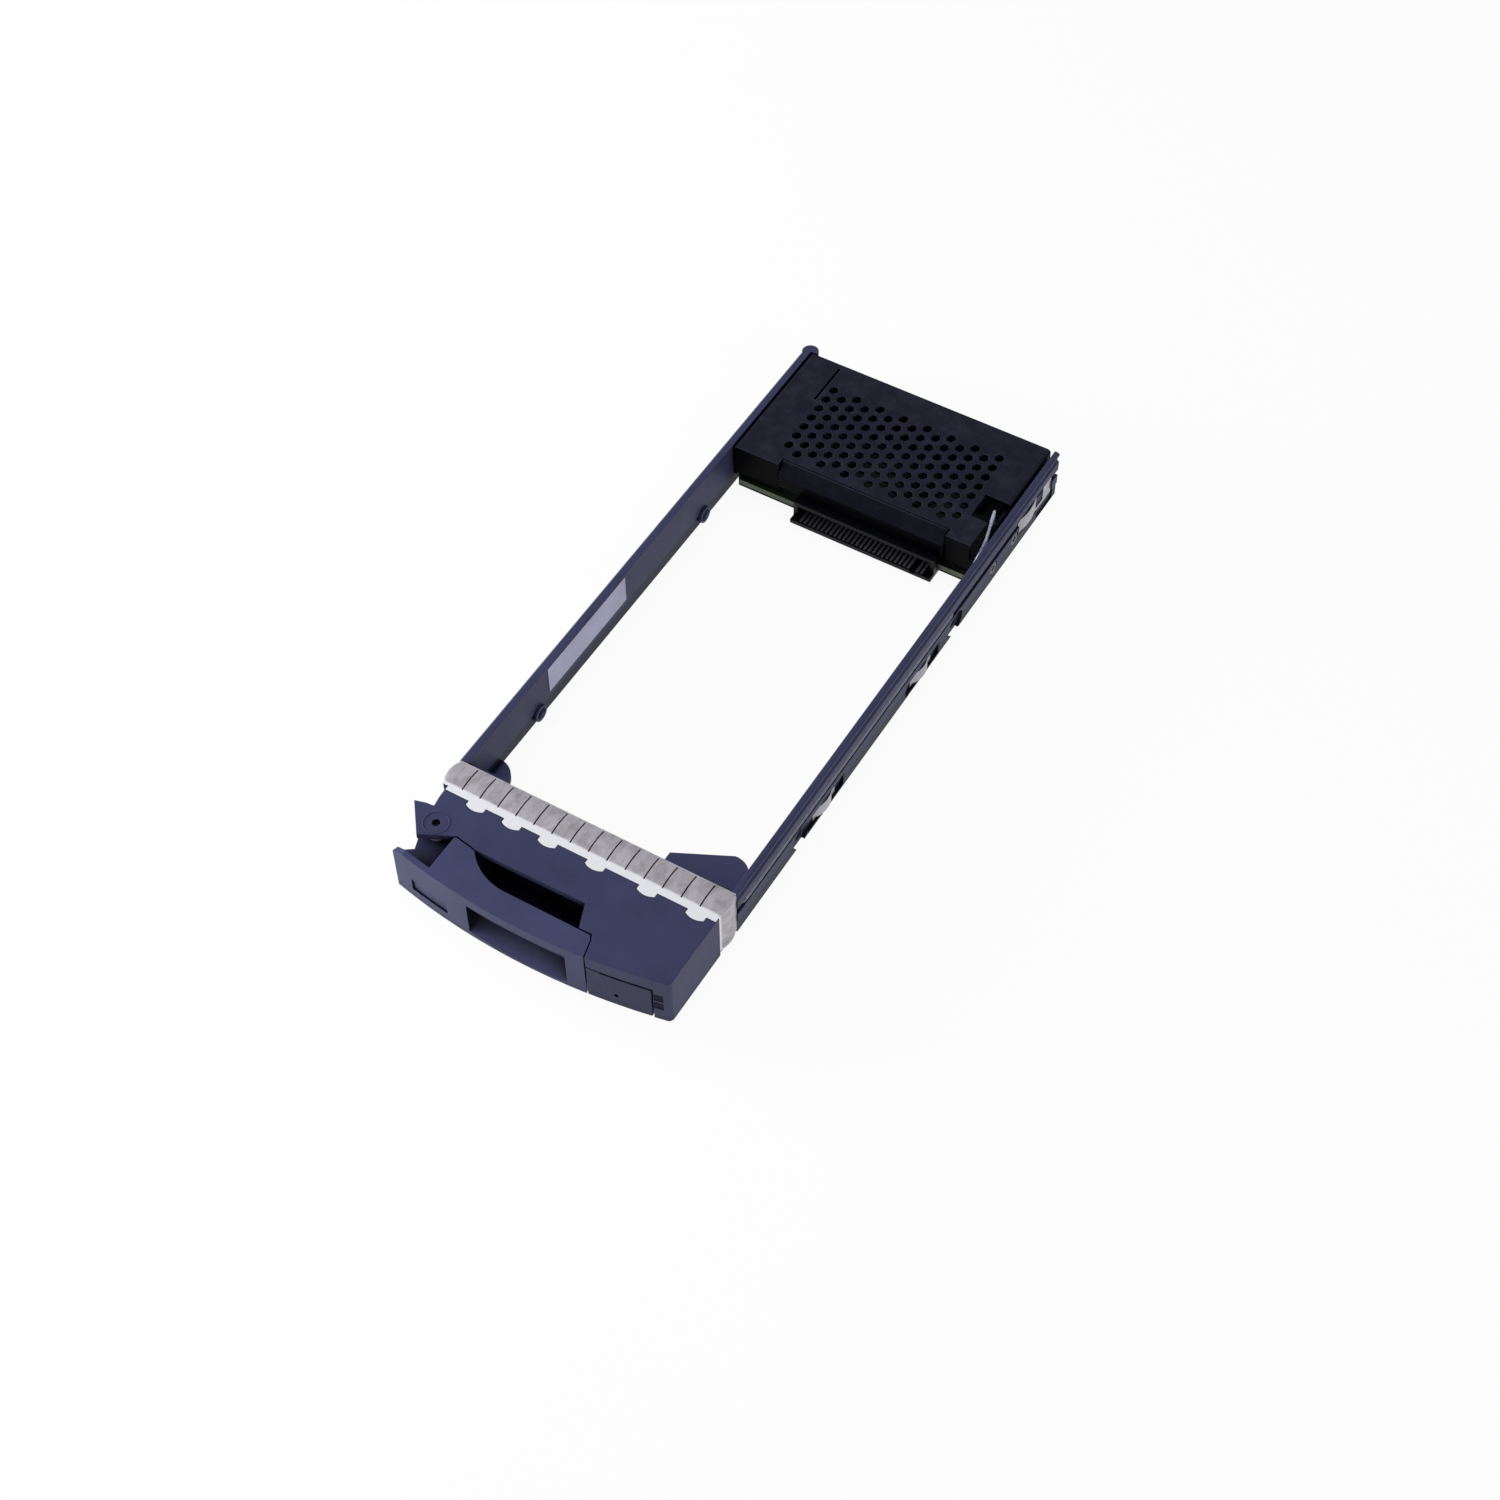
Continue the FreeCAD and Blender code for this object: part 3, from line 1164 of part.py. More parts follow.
def cage_screws():
    tip, seat = TRAY_HALF - SHEET, HALF - HEAD_THICKNESS - HEAD_GAP
    return Part.makeCompound(
        [
            screw((sign * tip, y, CAGE_SCREW_Z), (sign, 0, 0), seat - tip, CAGE_SCREW_R, CAGE_HEAD_R)
            for sign in (-1, 1)
            for y in CAGE_SCREWS_Y
        ]
    )


def foot_screws():
    length = BAR_DEPTH + FOOT_THICKNESS - FOOT_TIP_Y
    return Part.makeCompound(
        [
            screw((x, FOOT_TIP_Y, z), (0, 1, 0), length, FOOT_SCREW_R, FOOT_HEAD_R)
            for x in (-FOOT_SCREW_X, FOOT_SCREW_X)
            for z in FOOT_SCREWS_Z
        ]
    )


def board_screws():
    tip_z = TRAY_Z + SHEET + 0.2
    return Part.makeCompound(
        [
            screw((x, y, tip_z), (0, 0, 1), BOARD_TOP - tip_z, CAGE_SCREW_R, CAGE_HEAD_R)
            for x in (-STANDOFF_X, STANDOFF_X)
            for y in STANDOFFS_Y
        ]
    )


# All nodes
save("right_rail", rail(right_wing(), True))
save("left_rail", mirrored(rail(left_wing(), False)))
for name, centre_y in zip(("front", "rear"), SPRING_CENTRES_Y):
    spring = leaf_spring(centre_y)
    save("right_leaf_spring_" + name, spring)
    save("left_leaf_spring_" + name, mirrored(spring))
save("ground_clip", ground_clip())
save("bezel_body", bezel_body())
save("emi_gasket", gasket())
save("cam_lever", cam_lever())
save("lever_pin", lever_pin())
save("lever_spring", torsion_spring())
save("release_button", release_button())
save("button_spring", return_spring())
save("latch_pawl", latch_pawl())
save("pawl_pin", pawl_pin())
for level, (name, window_z) in enumerate(zip(("lower", "upper"), LENS_Z)):
    save("indicator_lens_" + name, lens(window_z))
    save("light_pipe_" + name, light_pipe(window_z, level))
save("cage_cover", cage_cover())
save("cage_tray", cage_tray())
save("interposer_board", interposer_board())
save("board_chips", chips())
save("drive_connector", housing(*CONNECTOR_Y))
save("drive_contacts", contacts(*CONNECTOR_Y))
save("backplane_plug", housing(PLUG_Y[1], PLUG_Y[0]))
save("backplane_contacts", contacts(PLUG_Y[1], PLUG_Y[0]))
save("blank_label", label())
save("cage_screws", cage_screws())
save("foot_screws", foot_screws())
save("board_screws", board_screws())
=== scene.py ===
import math

import bmesh
import bpy
from mathutils import Matrix, Vector


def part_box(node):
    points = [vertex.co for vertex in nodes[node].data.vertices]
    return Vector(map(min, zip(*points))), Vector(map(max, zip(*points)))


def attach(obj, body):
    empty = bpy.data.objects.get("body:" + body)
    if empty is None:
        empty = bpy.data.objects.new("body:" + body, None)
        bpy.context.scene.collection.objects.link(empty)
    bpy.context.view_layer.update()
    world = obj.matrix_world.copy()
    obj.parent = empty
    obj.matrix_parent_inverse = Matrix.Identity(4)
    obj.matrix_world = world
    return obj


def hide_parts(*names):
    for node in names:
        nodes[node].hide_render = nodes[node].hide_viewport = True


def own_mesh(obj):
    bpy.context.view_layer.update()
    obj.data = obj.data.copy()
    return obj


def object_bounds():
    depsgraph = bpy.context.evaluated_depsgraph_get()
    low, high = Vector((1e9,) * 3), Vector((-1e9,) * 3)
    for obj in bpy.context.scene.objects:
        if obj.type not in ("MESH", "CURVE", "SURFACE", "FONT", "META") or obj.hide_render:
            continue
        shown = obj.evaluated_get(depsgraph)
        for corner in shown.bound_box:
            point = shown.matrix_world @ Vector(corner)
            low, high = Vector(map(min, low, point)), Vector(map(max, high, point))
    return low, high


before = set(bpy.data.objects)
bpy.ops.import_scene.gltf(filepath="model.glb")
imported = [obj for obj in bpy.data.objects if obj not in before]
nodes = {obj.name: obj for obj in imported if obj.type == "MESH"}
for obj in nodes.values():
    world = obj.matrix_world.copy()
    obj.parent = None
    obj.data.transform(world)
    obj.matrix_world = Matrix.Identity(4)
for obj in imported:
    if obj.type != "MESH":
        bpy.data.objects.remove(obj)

MM = 0.001

# Camera, from the photo's perspective
IMAGE_SIDE = 1500
SENSOR = 36.0
FOCAL_PIXELS = 2710.9
CAMERA_AZIMUTH = 31.705
CAMERA_ELEVATION = 51.895
CAMERA_ROLL = -0.989
CAMERA_DISTANCE = 658.0 * MM
CAMERA_TARGET = Vector((13.11, 54.69, 0.0)) * MM
CLIP_START = 10.0 * MM

# Floor and light
FLOOR_HALF = 3.0
FLOOR_GAP = 0.2 * MM
FLOOR_WHITE = 0.93
WORLD_COLOUR = (0.93, 0.95, 1.0)
WORLD_STRENGTH = 0.42
LAMP_AIM = Vector((0.0, 0.06, 0.0))

# Each lamp: place, diameter in metres, power in watts
LAMPS = {
    "key": ((-0.50, -0.10, 0.135), 0.35, 5.3),
    "fill": ((0.9, -0.3, 0.4), 0.6, 3.2),
    "top": ((-0.1, 0.2, 1.0), 0.8, 2.0),
}

# Colours that several materials share
BLUE_GREY = (0.0395, 0.0430, 0.094)
WHITE = (1.0, 1.0, 1.0)

# Roundings of small parts, and samples of the shaders that look round a point
SMALL_EDGE = 0.1 * MM
EDGE_SAMPLES = 6
DEPTH_SAMPLES = 8

# Sockets of the colour mix, whose names aren't unique
MIX_FACTOR, MIX_FIRST, MIX_SECOND, MIX_RESULT = 0, 6, 7, 2

# Where a tint starts and ends: rail's inner face, its foot (painted shade), floor plates, left
# plate (painted light), rear of the gasket's flange (pale, partly painted highlight), rear of the
# light pipes (painted light)
RAIL_INSIDE = (35.2 * MM, 35.8 * MM)
RAIL_FOOT = (4.8 * MM, 3.0 * MM)
PLATE_TOP = (2.4 * MM, 2.0 * MM)
LEFT_PLATE = (-20.0 * MM, -21.0 * MM)
FLANGE_REAR = (0.4 * MM, 1.0 * MM)
PIPE_REAR = (118.0 * MM, 126.0 * MM)

# Screws: axis of the node's screws, then head radius, head height, shank radius and length
SCREWS = {
    "cage_screws": (0, 1.9 * MM, 0.6 * MM, 1.0 * MM, 4.0 * MM),
    "foot_screws": (1, 2.0 * MM, 0.6 * MM, 1.1 * MM, 7.7 * MM),
    "board_screws": (2, 1.9 * MM, 0.6 * MM, 1.0 * MM, 4.0 * MM),
}

SCREW_SEGMENTS = 40

# Shares of a screw head's height or radius
HEAD_BEVEL = 0.35
RECESS_DEPTH = 0.8
RECESS_TAPER = 0.8
CROSS_REACH = 0.55
CROSS_HALF = 0.13

# Ring on the ear
RING_R = 3.1 * MM
RING_HALF_WIDTH = 0.25 * MM
RING_HEIGHT = 0.2 * MM
RING_SINK = 0.05 * MM
RING_STEPS = 6
RING_SEGMENTS = 64

# Hem of the cover
HEM_SHEET = 0.8 * MM
HEM_GAP = 0.05 * MM
HEM_LIP = 2.0 * MM

# Corner strips of the gasket
CORNER_START = 0.4 * MM
CORNER_END = 7.3 * MM
CORNER_RISE = 0.45 * MM
CORNER_BULGE = 0.8 * MM
CORNER_DROP = 0.85 * MM
CORNER_RUN = 0.4 * MM
CORNER_SHEET = 0.2 * MM
CORNER_INSET = 0.01 * MM
CORNER_STEPS = 12

cad_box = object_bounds()


# Shader nodes
def new_material(name):
    material = bpy.data.materials.new(name)
    material.use_nodes = True
    tree = material.node_tree
    shader = tree.nodes["Principled BSDF"]
    return material, tree, shader


def add_node(tree, kind, **inputs):
    node = tree.nodes.new(kind)
    for key, value in inputs.items():
        node.inputs[key.replace("_", " ")].default_value = value
    return node


def add_math(tree, operation, value):
    """Math node with its first input linked."""
    node = tree.nodes.new("ShaderNodeMath")
    node.operation = operation
    tree.links.new(value, node.inputs[0])
    return node


def object_coordinates(tree):
    return tree.nodes.new("ShaderNodeTexCoord").outputs["Object"]


def flat_normal(tree):
    return tree.nodes.new("ShaderNodeNewGeometry").outputs["True Normal"]


def noise(tree, scale, detail=3.0, roughness=0.5, stretch=None):
    """Noise in object coordinates, in features per metre, stretched along X, Y and Z."""
    texture = add_node(tree, "ShaderNodeTexNoise", Scale=scale, Detail=detail, Roughness=roughness)
    source = object_coordinates(tree)
    if stretch:
        mapping = add_node(tree, "ShaderNodeMapping", Scale=stretch)
        tree.links.new(source, mapping.inputs["Vector"])
        source = mapping.outputs["Vector"]
    tree.links.new(source, texture.inputs["Vector"])
    return texture.outputs["Fac"]


def ramp(tree, factor, low, high, start=0.35, end=0.65):
    """Colours from low to high while the factor goes from start to end."""
    node = tree.nodes.new("ShaderNodeValToRGB")
    for element, place, colour in zip(node.color_ramp.elements, (start, end), (low, high)):
        element.position = place
        element.color = (*colour, 1.0)
    tree.links.new(factor, node.inputs["Fac"])
    return node.outputs["Color"]


def rescale(tree, value, start, end, low=0.0, high=1.0):
    """Value mapped from start..end to low..high, and held at those ends."""
    node = add_node(
        tree, "ShaderNodeMapRange", From_Min=start, From_Max=end, To_Min=low, To_Max=high
    )
    tree.links.new(value, node.inputs["Value"])
    return node.outputs["Result"]


def blend(tree, factor, first, second):
    """Colours mixed by a factor. Each is a socket or a plain colour."""
    node = tree.nodes.new("ShaderNodeMix")
    node.data_type = "RGBA"
    tree.links.new(factor, node.inputs[MIX_FACTOR])
    for place, colour in ((MIX_FIRST, first), (MIX_SECOND, second)):
        socket = node.inputs[place]
        if isinstance(colour, tuple):
            socket.default_value = (*colour, 1.0)
        else:
            tree.links.new(colour, socket)
    return node.outputs[MIX_RESULT]


def axis_value(tree, vector, axis):
    parts = tree.nodes.new("ShaderNodeSeparateXYZ")
    tree.links.new(vector, parts.inputs["Vector"])
    return parts.outputs[axis]


def rounded_normal(tree, radius):
    """Normals rounded near edges."""
    bevel = add_node(tree, "ShaderNodeBevel", Radius=radius)
    bevel.samples = EDGE_SAMPLES
    return bevel.outputs["Normal"]


def edge_mask(tree, normal, high):
    """high on the edges that the rounded normal turns at, and 0 on flat faces."""
    turn = tree.nodes.new("ShaderNodeVectorMath")
    turn.operation = "DOT_PRODUCT"
    tree.links.new(normal, turn.inputs[0])
    tree.links.new(flat_normal(tree), turn.inputs[1])
    edges = rescale(tree, turn.outputs["Value"], 0.99, 0.8)
    return rescale(tree, edges, 0.0, 1.0, 0.0, high)


def depth(tree, reach, start=0.2, end=0.7, own=False):
    """Near 0 in recesses and gaps, 1 in the open. With own, other pieces don't count."""
    occlusion = add_node(tree, "ShaderNodeAmbientOcclusion", Distance=reach)
    occlusion.samples = DEPTH_SAMPLES
    occlusion.only_local = own
    return rescale(tree, occlusion.outputs["AO"], start, end)


def bump(tree, shader, height, strength, distance, normal):
    node = add_node(tree, "ShaderNodeBump", Strength=strength, Distance=distance)
    tree.links.new(height, node.inputs["Height"])
    tree.links.new(normal, node.inputs["Normal"])
    tree.links.new(node.outputs["Normal"], shader.inputs["Normal"])


def finish_surface(tree, shader, colour, gloss_noise, smooth, rough):
    """Base colour, and roughness that follows a noise from smooth to rough."""
    tree.links.new(colour, shader.inputs["Base Color"])
    tree.links.new(rescale(tree, gloss_noise, 0.3, 0.7, smooth, rough), shader.inputs["Roughness"])


def tinted(colour, factor):
    return tuple(min(1.0, c * factor) for c in colour)


# Materials
def shade_rail(tree, colour, surface, foot):
    """Painted shade on the foot along a rail's outer side, and painted light on the floor plates
    inside it, most on the left plate.
    """
    place = object_coordinates(tree)
    height = axis_value(tree, place, "Z")
    along_x = axis_value(tree, place, "X")
    distance = add_math(tree, "ABSOLUTE", along_x)
    outside = rescale(tree, distance.outputs[0], *RAIL_INSIDE)
    # Painted shade: the outer side darker below the foot's top
    foot_shaded = blend(tree, rescale(tree, height, *RAIL_FOOT), surface, tinted(colour, foot))
    # Painted light: floor plates lighter inside the rails, the left one most
    left = rescale(tree, along_x, *LEFT_PLATE)
    plate = blend(tree, left, tinted(colour, 1.4), tinted(colour, 2.0))
    plated = blend(tree, rescale(tree, height, *PLATE_TOP), surface, plate)
    return blend(tree, outside, plated, foot_shaded)


def moulded(
    name,
    colour,
    roughness,
    grain=2600.0,
    strength=0.3,
    edge=0.3 * MM,
    gloss=0.15,
    hollow=1.0,
    foot=1.0,
):
    """Moulded plastic: spark-eroded grain, edges paler from rubbing and from a painted highlight,
    and painted shade in gaps and recesses.

    hollow is the share of the colour that is left in the piece's own recesses as painted shade, and
    foot is the share that is left along a rail's foot as painted shade.
    """
    material, tree, shader = new_material(name)
    shader.inputs["Specular IOR Level"].default_value = gloss
    fine = noise(tree, grain, 4.0, 0.6)
    broad = noise(tree, 60.0, 4.0, 0.6)
    normal = rounded_normal(tree, edge)
    mottled = ramp(tree, broad, tinted(colour, 0.9), tinted(colour, 1.1))
    speckled = blend(tree, rescale(tree, fine, 0.62, 0.75, 0.0, 0.25), mottled, tinted(colour, 1.7))
    # Paler edges: partly rubbing wear, partly a painted highlight where the edges catch the light
    surface = blend(tree, edge_mask(tree, normal, 0.55), speckled, tinted(colour, 1.9))
    # Painted shade on a rail's foot and painted light on its floor plates
    if foot < 1.0:
        surface = shade_rail(tree, colour, surface, foot)
    # Painted shade: the piece's own recesses darkened to the hollow share of the colour
    if hollow < 1.0:
        recesses = depth(tree, 10.0 * MM, 0.65, 1.0, own=True)
        surface = blend(tree, recesses, tinted(colour, hollow), surface)
    # Painted shade: dark lines in narrow gaps, and darker colour in wider gaps and near other
    # pieces
    line_shaded = blend(tree, depth(tree, 1.4 * MM, 0.3, 0.8), tinted(colour, 0.1), surface)
    gap_shaded = blend(tree, depth(tree, 6.0 * MM), tinted(colour, 0.06), line_shaded)
    finish_surface(tree, shader, gap_shaded, fine, roughness - 0.07, roughness + 0.08)
    bump(tree, shader, fine, strength, 0.06 * MM, normal)
    return material


def sheet_metal(name, colour, metallic, roughness, brush=WHITE, scale=900.0):
    """Rolled strip, wire or plated part, with a directional grain, slight tarnish and painted shade
    in gaps.
    """
    material, tree, shader = new_material(name)
    shader.inputs["Metallic"].default_value = metallic
    grain = noise(tree, scale, 4.0, 0.65, brush)
    cloud = noise(tree, 120.0, 4.0, 0.6)
    normal = rounded_normal(tree, SMALL_EDGE)
    tarnished = ramp(tree, cloud, tinted(colour, 0.8), tinted(colour, 1.1))
    # Painted shade: darker in gaps and near other surfaces
    gap_shaded = blend(tree, depth(tree, 2.0 * MM), tinted(colour, 0.3), tarnished)
    finish_surface(tree, shader, gap_shaded, grain, roughness - 0.06, roughness + 0.1)
    bump(tree, shader, grain, 0.15, 0.03 * MM, normal)
    return material


def coated_sheet(name, colour):
    """Black powder coating, with a painted highlight along folds, painted shade near black on faces
    that look forward, and painted shade in creases and gaps.
    """
    material, tree, shader = new_material(name)
    shader.inputs["Specular IOR Level"].default_value = 0.03
    orange_peel = noise(tree, 1500.0, 3.0, 0.5)
    dust = noise(tree, 240.0, 5.0, 0.7)
    normal = rounded_normal(tree, 0.35 * MM)
    dusty = ramp(tree, dust, tinted(colour, 0.8), tinted(colour, 1.3), 0.4, 0.7)
    # Painted highlight: folds and edges paler
    fold_highlit = blend(tree, edge_mask(tree, normal, 0.6), dusty, tinted(colour, 3.2))
    # Painted shade: faces that look forward turn near black
    forward = rescale(tree, axis_value(tree, flat_normal(tree), "Y"), -0.5, -0.95)
    front_shaded = blend(tree, forward, fold_highlit, tinted(colour, 0.05))
    # Painted shade in the sheet's own creases and in gaps near other pieces
    crease_shaded = blend(tree, depth(tree, 0.8 * MM, 0.5, 0.9, own=True), tinted(colour, 0.1), front_shaded)
    gap_shaded = blend(tree, depth(tree, 5.0 * MM), tinted(colour, 0.1), crease_shaded)
    finish_surface(tree, shader, gap_shaded, orange_peel, 0.38, 0.52)
    bump(tree, shader, orange_peel, 0.3, 0.08 * MM, normal)
    return material


def finger_strip(name):
    """Gasket strip: pale flange and tabs, partly as a painted highlight, fingers dulled by rubbing
    and finger marks, and painted shade in slits and gaps.
    """
    material, tree, shader = new_material(name)
    shader.inputs["Metallic"].default_value = 0.35
    place = object_coordinates(tree)
    behind_flange = rescale(tree, axis_value(tree, place, "Y"), *FLANGE_REAR)
    marks = noise(tree, 330.0, 5.0, 0.7, (1.0, 0.6, 1.0))
    scratches = noise(tree, 2200.0, 3.0, 0.6, (1.0, 0.12, 1.0))
    normal = rounded_normal(tree, SMALL_EDGE)
    dull = ramp(tree, marks, (0.32, 0.295, 0.315), (0.48, 0.46, 0.49), 0.34, 0.58)
    lines = rescale(tree, scratches, 0.58, 0.75, 0.0, 0.35)
    scratched = blend(tree, lines, dull, (0.62, 0.61, 0.64))
    # Near-white flange and tabs: partly a painted highlight
    whole = blend(tree, behind_flange, (0.90, 0.90, 0.93), scratched)
    # Painted shade in the slits and gaps
    gap_shaded = blend(tree, depth(tree, 1.5 * MM), (0.10, 0.10, 0.11), whole)
    finish_surface(tree, shader, gap_shaded, marks, 0.5, 0.32)
    bump(tree, shader, scratches, 0.12, 0.04 * MM, normal)
    return material


def circuit_board(name):
    """Dark green mask with faint tracks under it, painted shade that turns the mask near black away
    from the open, and bare laminate on the cut edges.
    """
    material, tree, shader = new_material(name)
    shader.inputs["Specular IOR Level"].default_value = 0.4
    tracks = add_node(tree, "ShaderNodeTexVoronoi", Scale=420.0)
    tracks.distance = "MANHATTAN"
    tree.links.new(object_coordinates(tree), tracks.inputs["Vector"])
    copper = rescale(tree, tracks.outputs["Distance"], 0.30, 0.36)
    weave = noise(tree, 1600.0, 2.0, 0.5)
    normal = rounded_normal(tree, SMALL_EDGE)
    bare = blend(tree, copper, (0.010, 0.022, 0.008), (0.018, 0.036, 0.012))
    # Painted shade: the mask near black deep inside the cage
    mask = blend(tree, depth(tree, 14.0 * MM, 0.3, 0.9), (0.0015, 0.003, 0.0015), bare)
    cut = ramp(tree, weave, (0.045, 0.065, 0.022), (0.10, 0.13, 0.05))
    upright = add_math(tree, "ABSOLUTE", axis_value(tree, flat_normal(tree), "Z"))
    finish_surface(tree, shader, blend(tree, upright.outputs[0], cut, mask), weave, 0.28, 0.42)
    bump(tree, shader, tracks.outputs["Distance"], 0.15, 0.04 * MM, normal)
    return material


def clear_rod(name, colour):
    """Slightly cloudy clear plastic, with painted light that makes it paler toward the rear, where
    light enters it.
    """
    material, tree, shader = new_material(name)
    shader.inputs["Transmission Weight"].default_value = 0.6
    shader.inputs["IOR"].default_value = 1.49
    cloud = noise(tree, 300.0)
    normal = rounded_normal(tree, SMALL_EDGE)
    body = ramp(tree, cloud, tinted(colour, 0.85), tinted(colour, 1.05))
    # Painted light: paler toward the rear
    rear = rescale(tree, axis_value(tree, object_coordinates(tree), "Y"), *PIPE_REAR)
    finish_surface(tree, shader, blend(tree, rear, body, tinted(colour, 2.0)), cloud, 0.16, 0.26)
    bump(tree, shader, cloud, 0.05, 0.02 * MM, normal)
    return material


def dress():
    """Materials on all the nodes. Returns those that the details need."""
    # hollow sets the painted shade in the pieces' own recesses
    bezel = moulded("bezel_plastic", BLUE_GREY, 0.5, hollow=0.12)
    button = moulded("button_plastic", tinted(BLUE_GREY, 0.75), 0.5, hollow=0.12)
    lever = moulded("lever_plastic", tinted(BLUE_GREY, 1.15), 0.45, hollow=0.12)
    # foot sets the painted shade on the rails' foot; the rails' floor plates also get painted light
    rails = moulded("rail_plastic", tinted(BLUE_GREY, 0.95), 0.5, grain=2000.0, foot=0.5)
    black = (0.0012, 0.0013, 0.0030)
    connector = moulded("connector_plastic", black, 0.4, grain=1800.0, strength=0.1, edge=0.2 * MM)
    chip = moulded("chip_package", (0.006, 0.006, 0.007), 0.5, grain=3000.0)
    lens = moulded(
        "indicator_lens",
        (0.003, 0.003, 0.024),
        0.3,
        grain=900.0,
        strength=0.05,
        edge=SMALL_EDGE,
        gloss=0.04,
    )
    paper = moulded(
        "label_film", (0.46, 0.46, 0.60), 0.55, grain=1500.0, strength=0.08, edge=0.05 * MM
    )
    strip = sheet_metal("spring_strip", (0.40, 0.39, 0.43), 0.7, 0.36, (1.0, 0.15, 1.0), 1500.0)
    dark_steel = sheet_metal("pin_steel", (0.03, 0.03, 0.038), 0.6, 0.4)
    spring = sheet_metal("spring_wire", (0.4, 0.4, 0.42), 0.9, 0.35)
    screw = sheet_metal("screw_zinc", (0.05, 0.05, 0.06), 0.6, 0.35)
    # Contacts darker than bare tin: painted shade of the connector's recesses
    plating = sheet_metal("contact_plating", (0.10, 0.10, 0.11), 0.6, 0.4)
    cage = coated_sheet("cage_coating", (0.0165, 0.0165, 0.0290))
    gasket = finger_strip("gasket_strip")
    board = circuit_board("board_mask")
    pipe = clear_rod("light_pipe", (0.40, 0.42, 0.50))
    leaf_springs = [
        side + "_leaf_spring_" + end for side in ("left", "right") for end in ("front", "rear")
    ]
    groups = [
        (bezel, ["bezel_body", "latch_pawl"]),
        (button, ["release_button"]),
        (lever, ["cam_lever"]),
        (rails, ["left_rail", "right_rail"]),
        (connector, ["drive_connector", "backplane_plug"]),
        (chip, ["board_chips"]),
        (lens, ["indicator_lens_lower", "indicator_lens_upper"]),
        (paper, ["blank_label"]),
        (strip, ["ground_clip", *leaf_springs]),
        (dark_steel, ["lever_pin", "pawl_pin"]),
        (spring, ["lever_spring", "button_spring"]),
        (screw, list(SCREWS)),
        (plating, ["drive_contacts", "backplane_contacts"]),
        (cage, ["cage_cover", "cage_tray"]),
        (gasket, ["emi_gasket"]),
        (board, ["interposer_board"]),
        (pipe, ["light_pipe_lower", "light_pipe_upper"]),
    ]
    for material, names in groups:
        for name in names:
            nodes[name].data.materials.clear()
            nodes[name].data.materials.append(material)
    return bezel, cage, gasket, screw


# Meshes
def ring_of(mesh, matrix, radius, height, count=SCREW_SEGMENTS):
    ring = []
    for i in range(count):
        turn = 2 * math.pi * i / count
        place = Vector((radius * math.cos(turn), radius * math.sin(turn), height))
        ring.append(mesh.verts.new(matrix @ place))
    return ring


def join_rings(mesh, lower, upper):
    count = len(lower)
    for i in range(count):
        k = (i + 1) % count
        mesh.faces.new((lower[i], lower[k], upper[k], upper[i]))


def cap_ends(mesh, first, last):
    mesh.faces.new(first)
    mesh.faces.new(list(reversed(last)))


def loop_edges(mesh, loop):
    pairs = zip(loop, loop[1:] + loop[:1])
    return [mesh.edges.get(pair) or mesh.edges.new(pair) for pair in pairs]


def link_piece(name, data, body):
    piece = bpy.data.objects.new(name, data)
    bpy.context.scene.collection.objects.link(piece)
    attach(piece, body)
    return piece


def new_piece(name, mesh, material, body):
    bmesh.ops.recalc_face_normals(mesh, faces=mesh.faces)
    data = bpy.data.meshes.new(name)
    mesh.to_mesh(data)
    mesh.free()
    data.materials.append(material)
    return link_piece(name, data, body)


# Screws
def cross_outline(reach, half):
    """Outline of a cross, from its right arm round to its lower one."""
    quarter = [(reach, -half), (reach, half), (half, half)]
    points = []
    for turn in range(4):
        for x, y in quarter:
            for _ in range(turn):
                x, y = -y, x
            points.append((x, y))
    return points


def add_screw(mesh, matrix, head_r, head_height, shank_r, length):
    """One screw pointing down from its head's top at z = 0, with a bevel and a cross recess."""
    bevel = head_height * HEAD_BEVEL
    rim = ring_of(mesh, matrix, head_r, -bevel)
    crown = ring_of(mesh, matrix, head_r - bevel, 0.0)
    under = ring_of(mesh, matrix, head_r, -head_height)
    neck = ring_of(mesh, matrix, shank_r, -head_height)
    end = ring_of(mesh, matrix, shank_r, -length)
    for lower, upper in ((rim, crown), (under, rim), (neck, under), (end, neck)):
        join_rings(mesh, lower, upper)
    mesh.faces.new(list(reversed(end)))
    cross = cross_outline(head_r * CROSS_REACH, head_r * CROSS_HALF)
    top = [mesh.verts.new(matrix @ Vector((x, y, 0.0))) for x, y in cross]
    low = -head_height * RECESS_DEPTH
    tapered = [(x * RECESS_TAPER, y * RECESS_TAPER) for x, y in cross]
    floor = [mesh.verts.new(matrix @ Vector((x, y, low))) for x, y in tapered]
    join_rings(mesh, floor, top)
    mesh.faces.new(floor)
    edges = loop_edges(mesh, crown) + loop_edges(mesh, top)
    bmesh.ops.triangle_fill(mesh, use_beauty=True, edges=edges)


def screw_places(node, axis, head_r):
    """Head tops and directions of a node's four screws. Along X they point both ways."""
    low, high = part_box(node)
    if axis == 0:
        middle = (low.z + high.z) / 2
        rows = (low.y + head_r, high.y - head_r)
        ends = ((low.x, -1.0), (high.x, 1.0))
        return [(Vector((x, y, middle)), Vector((sign, 0, 0))) for x, sign in ends for y in rows]
    first, second = [i for i in range(3) if i != axis]
    direction = Vector([float(i == axis) for i in range(3)])
    places = []
    for a in (low[first] + head_r, high[first] - head_r):
        for b in (low[second] + head_r, high[second] - head_r):
            place = high.copy()
            place[first], place[second] = a, b
            places.append((place, direction))
    return places


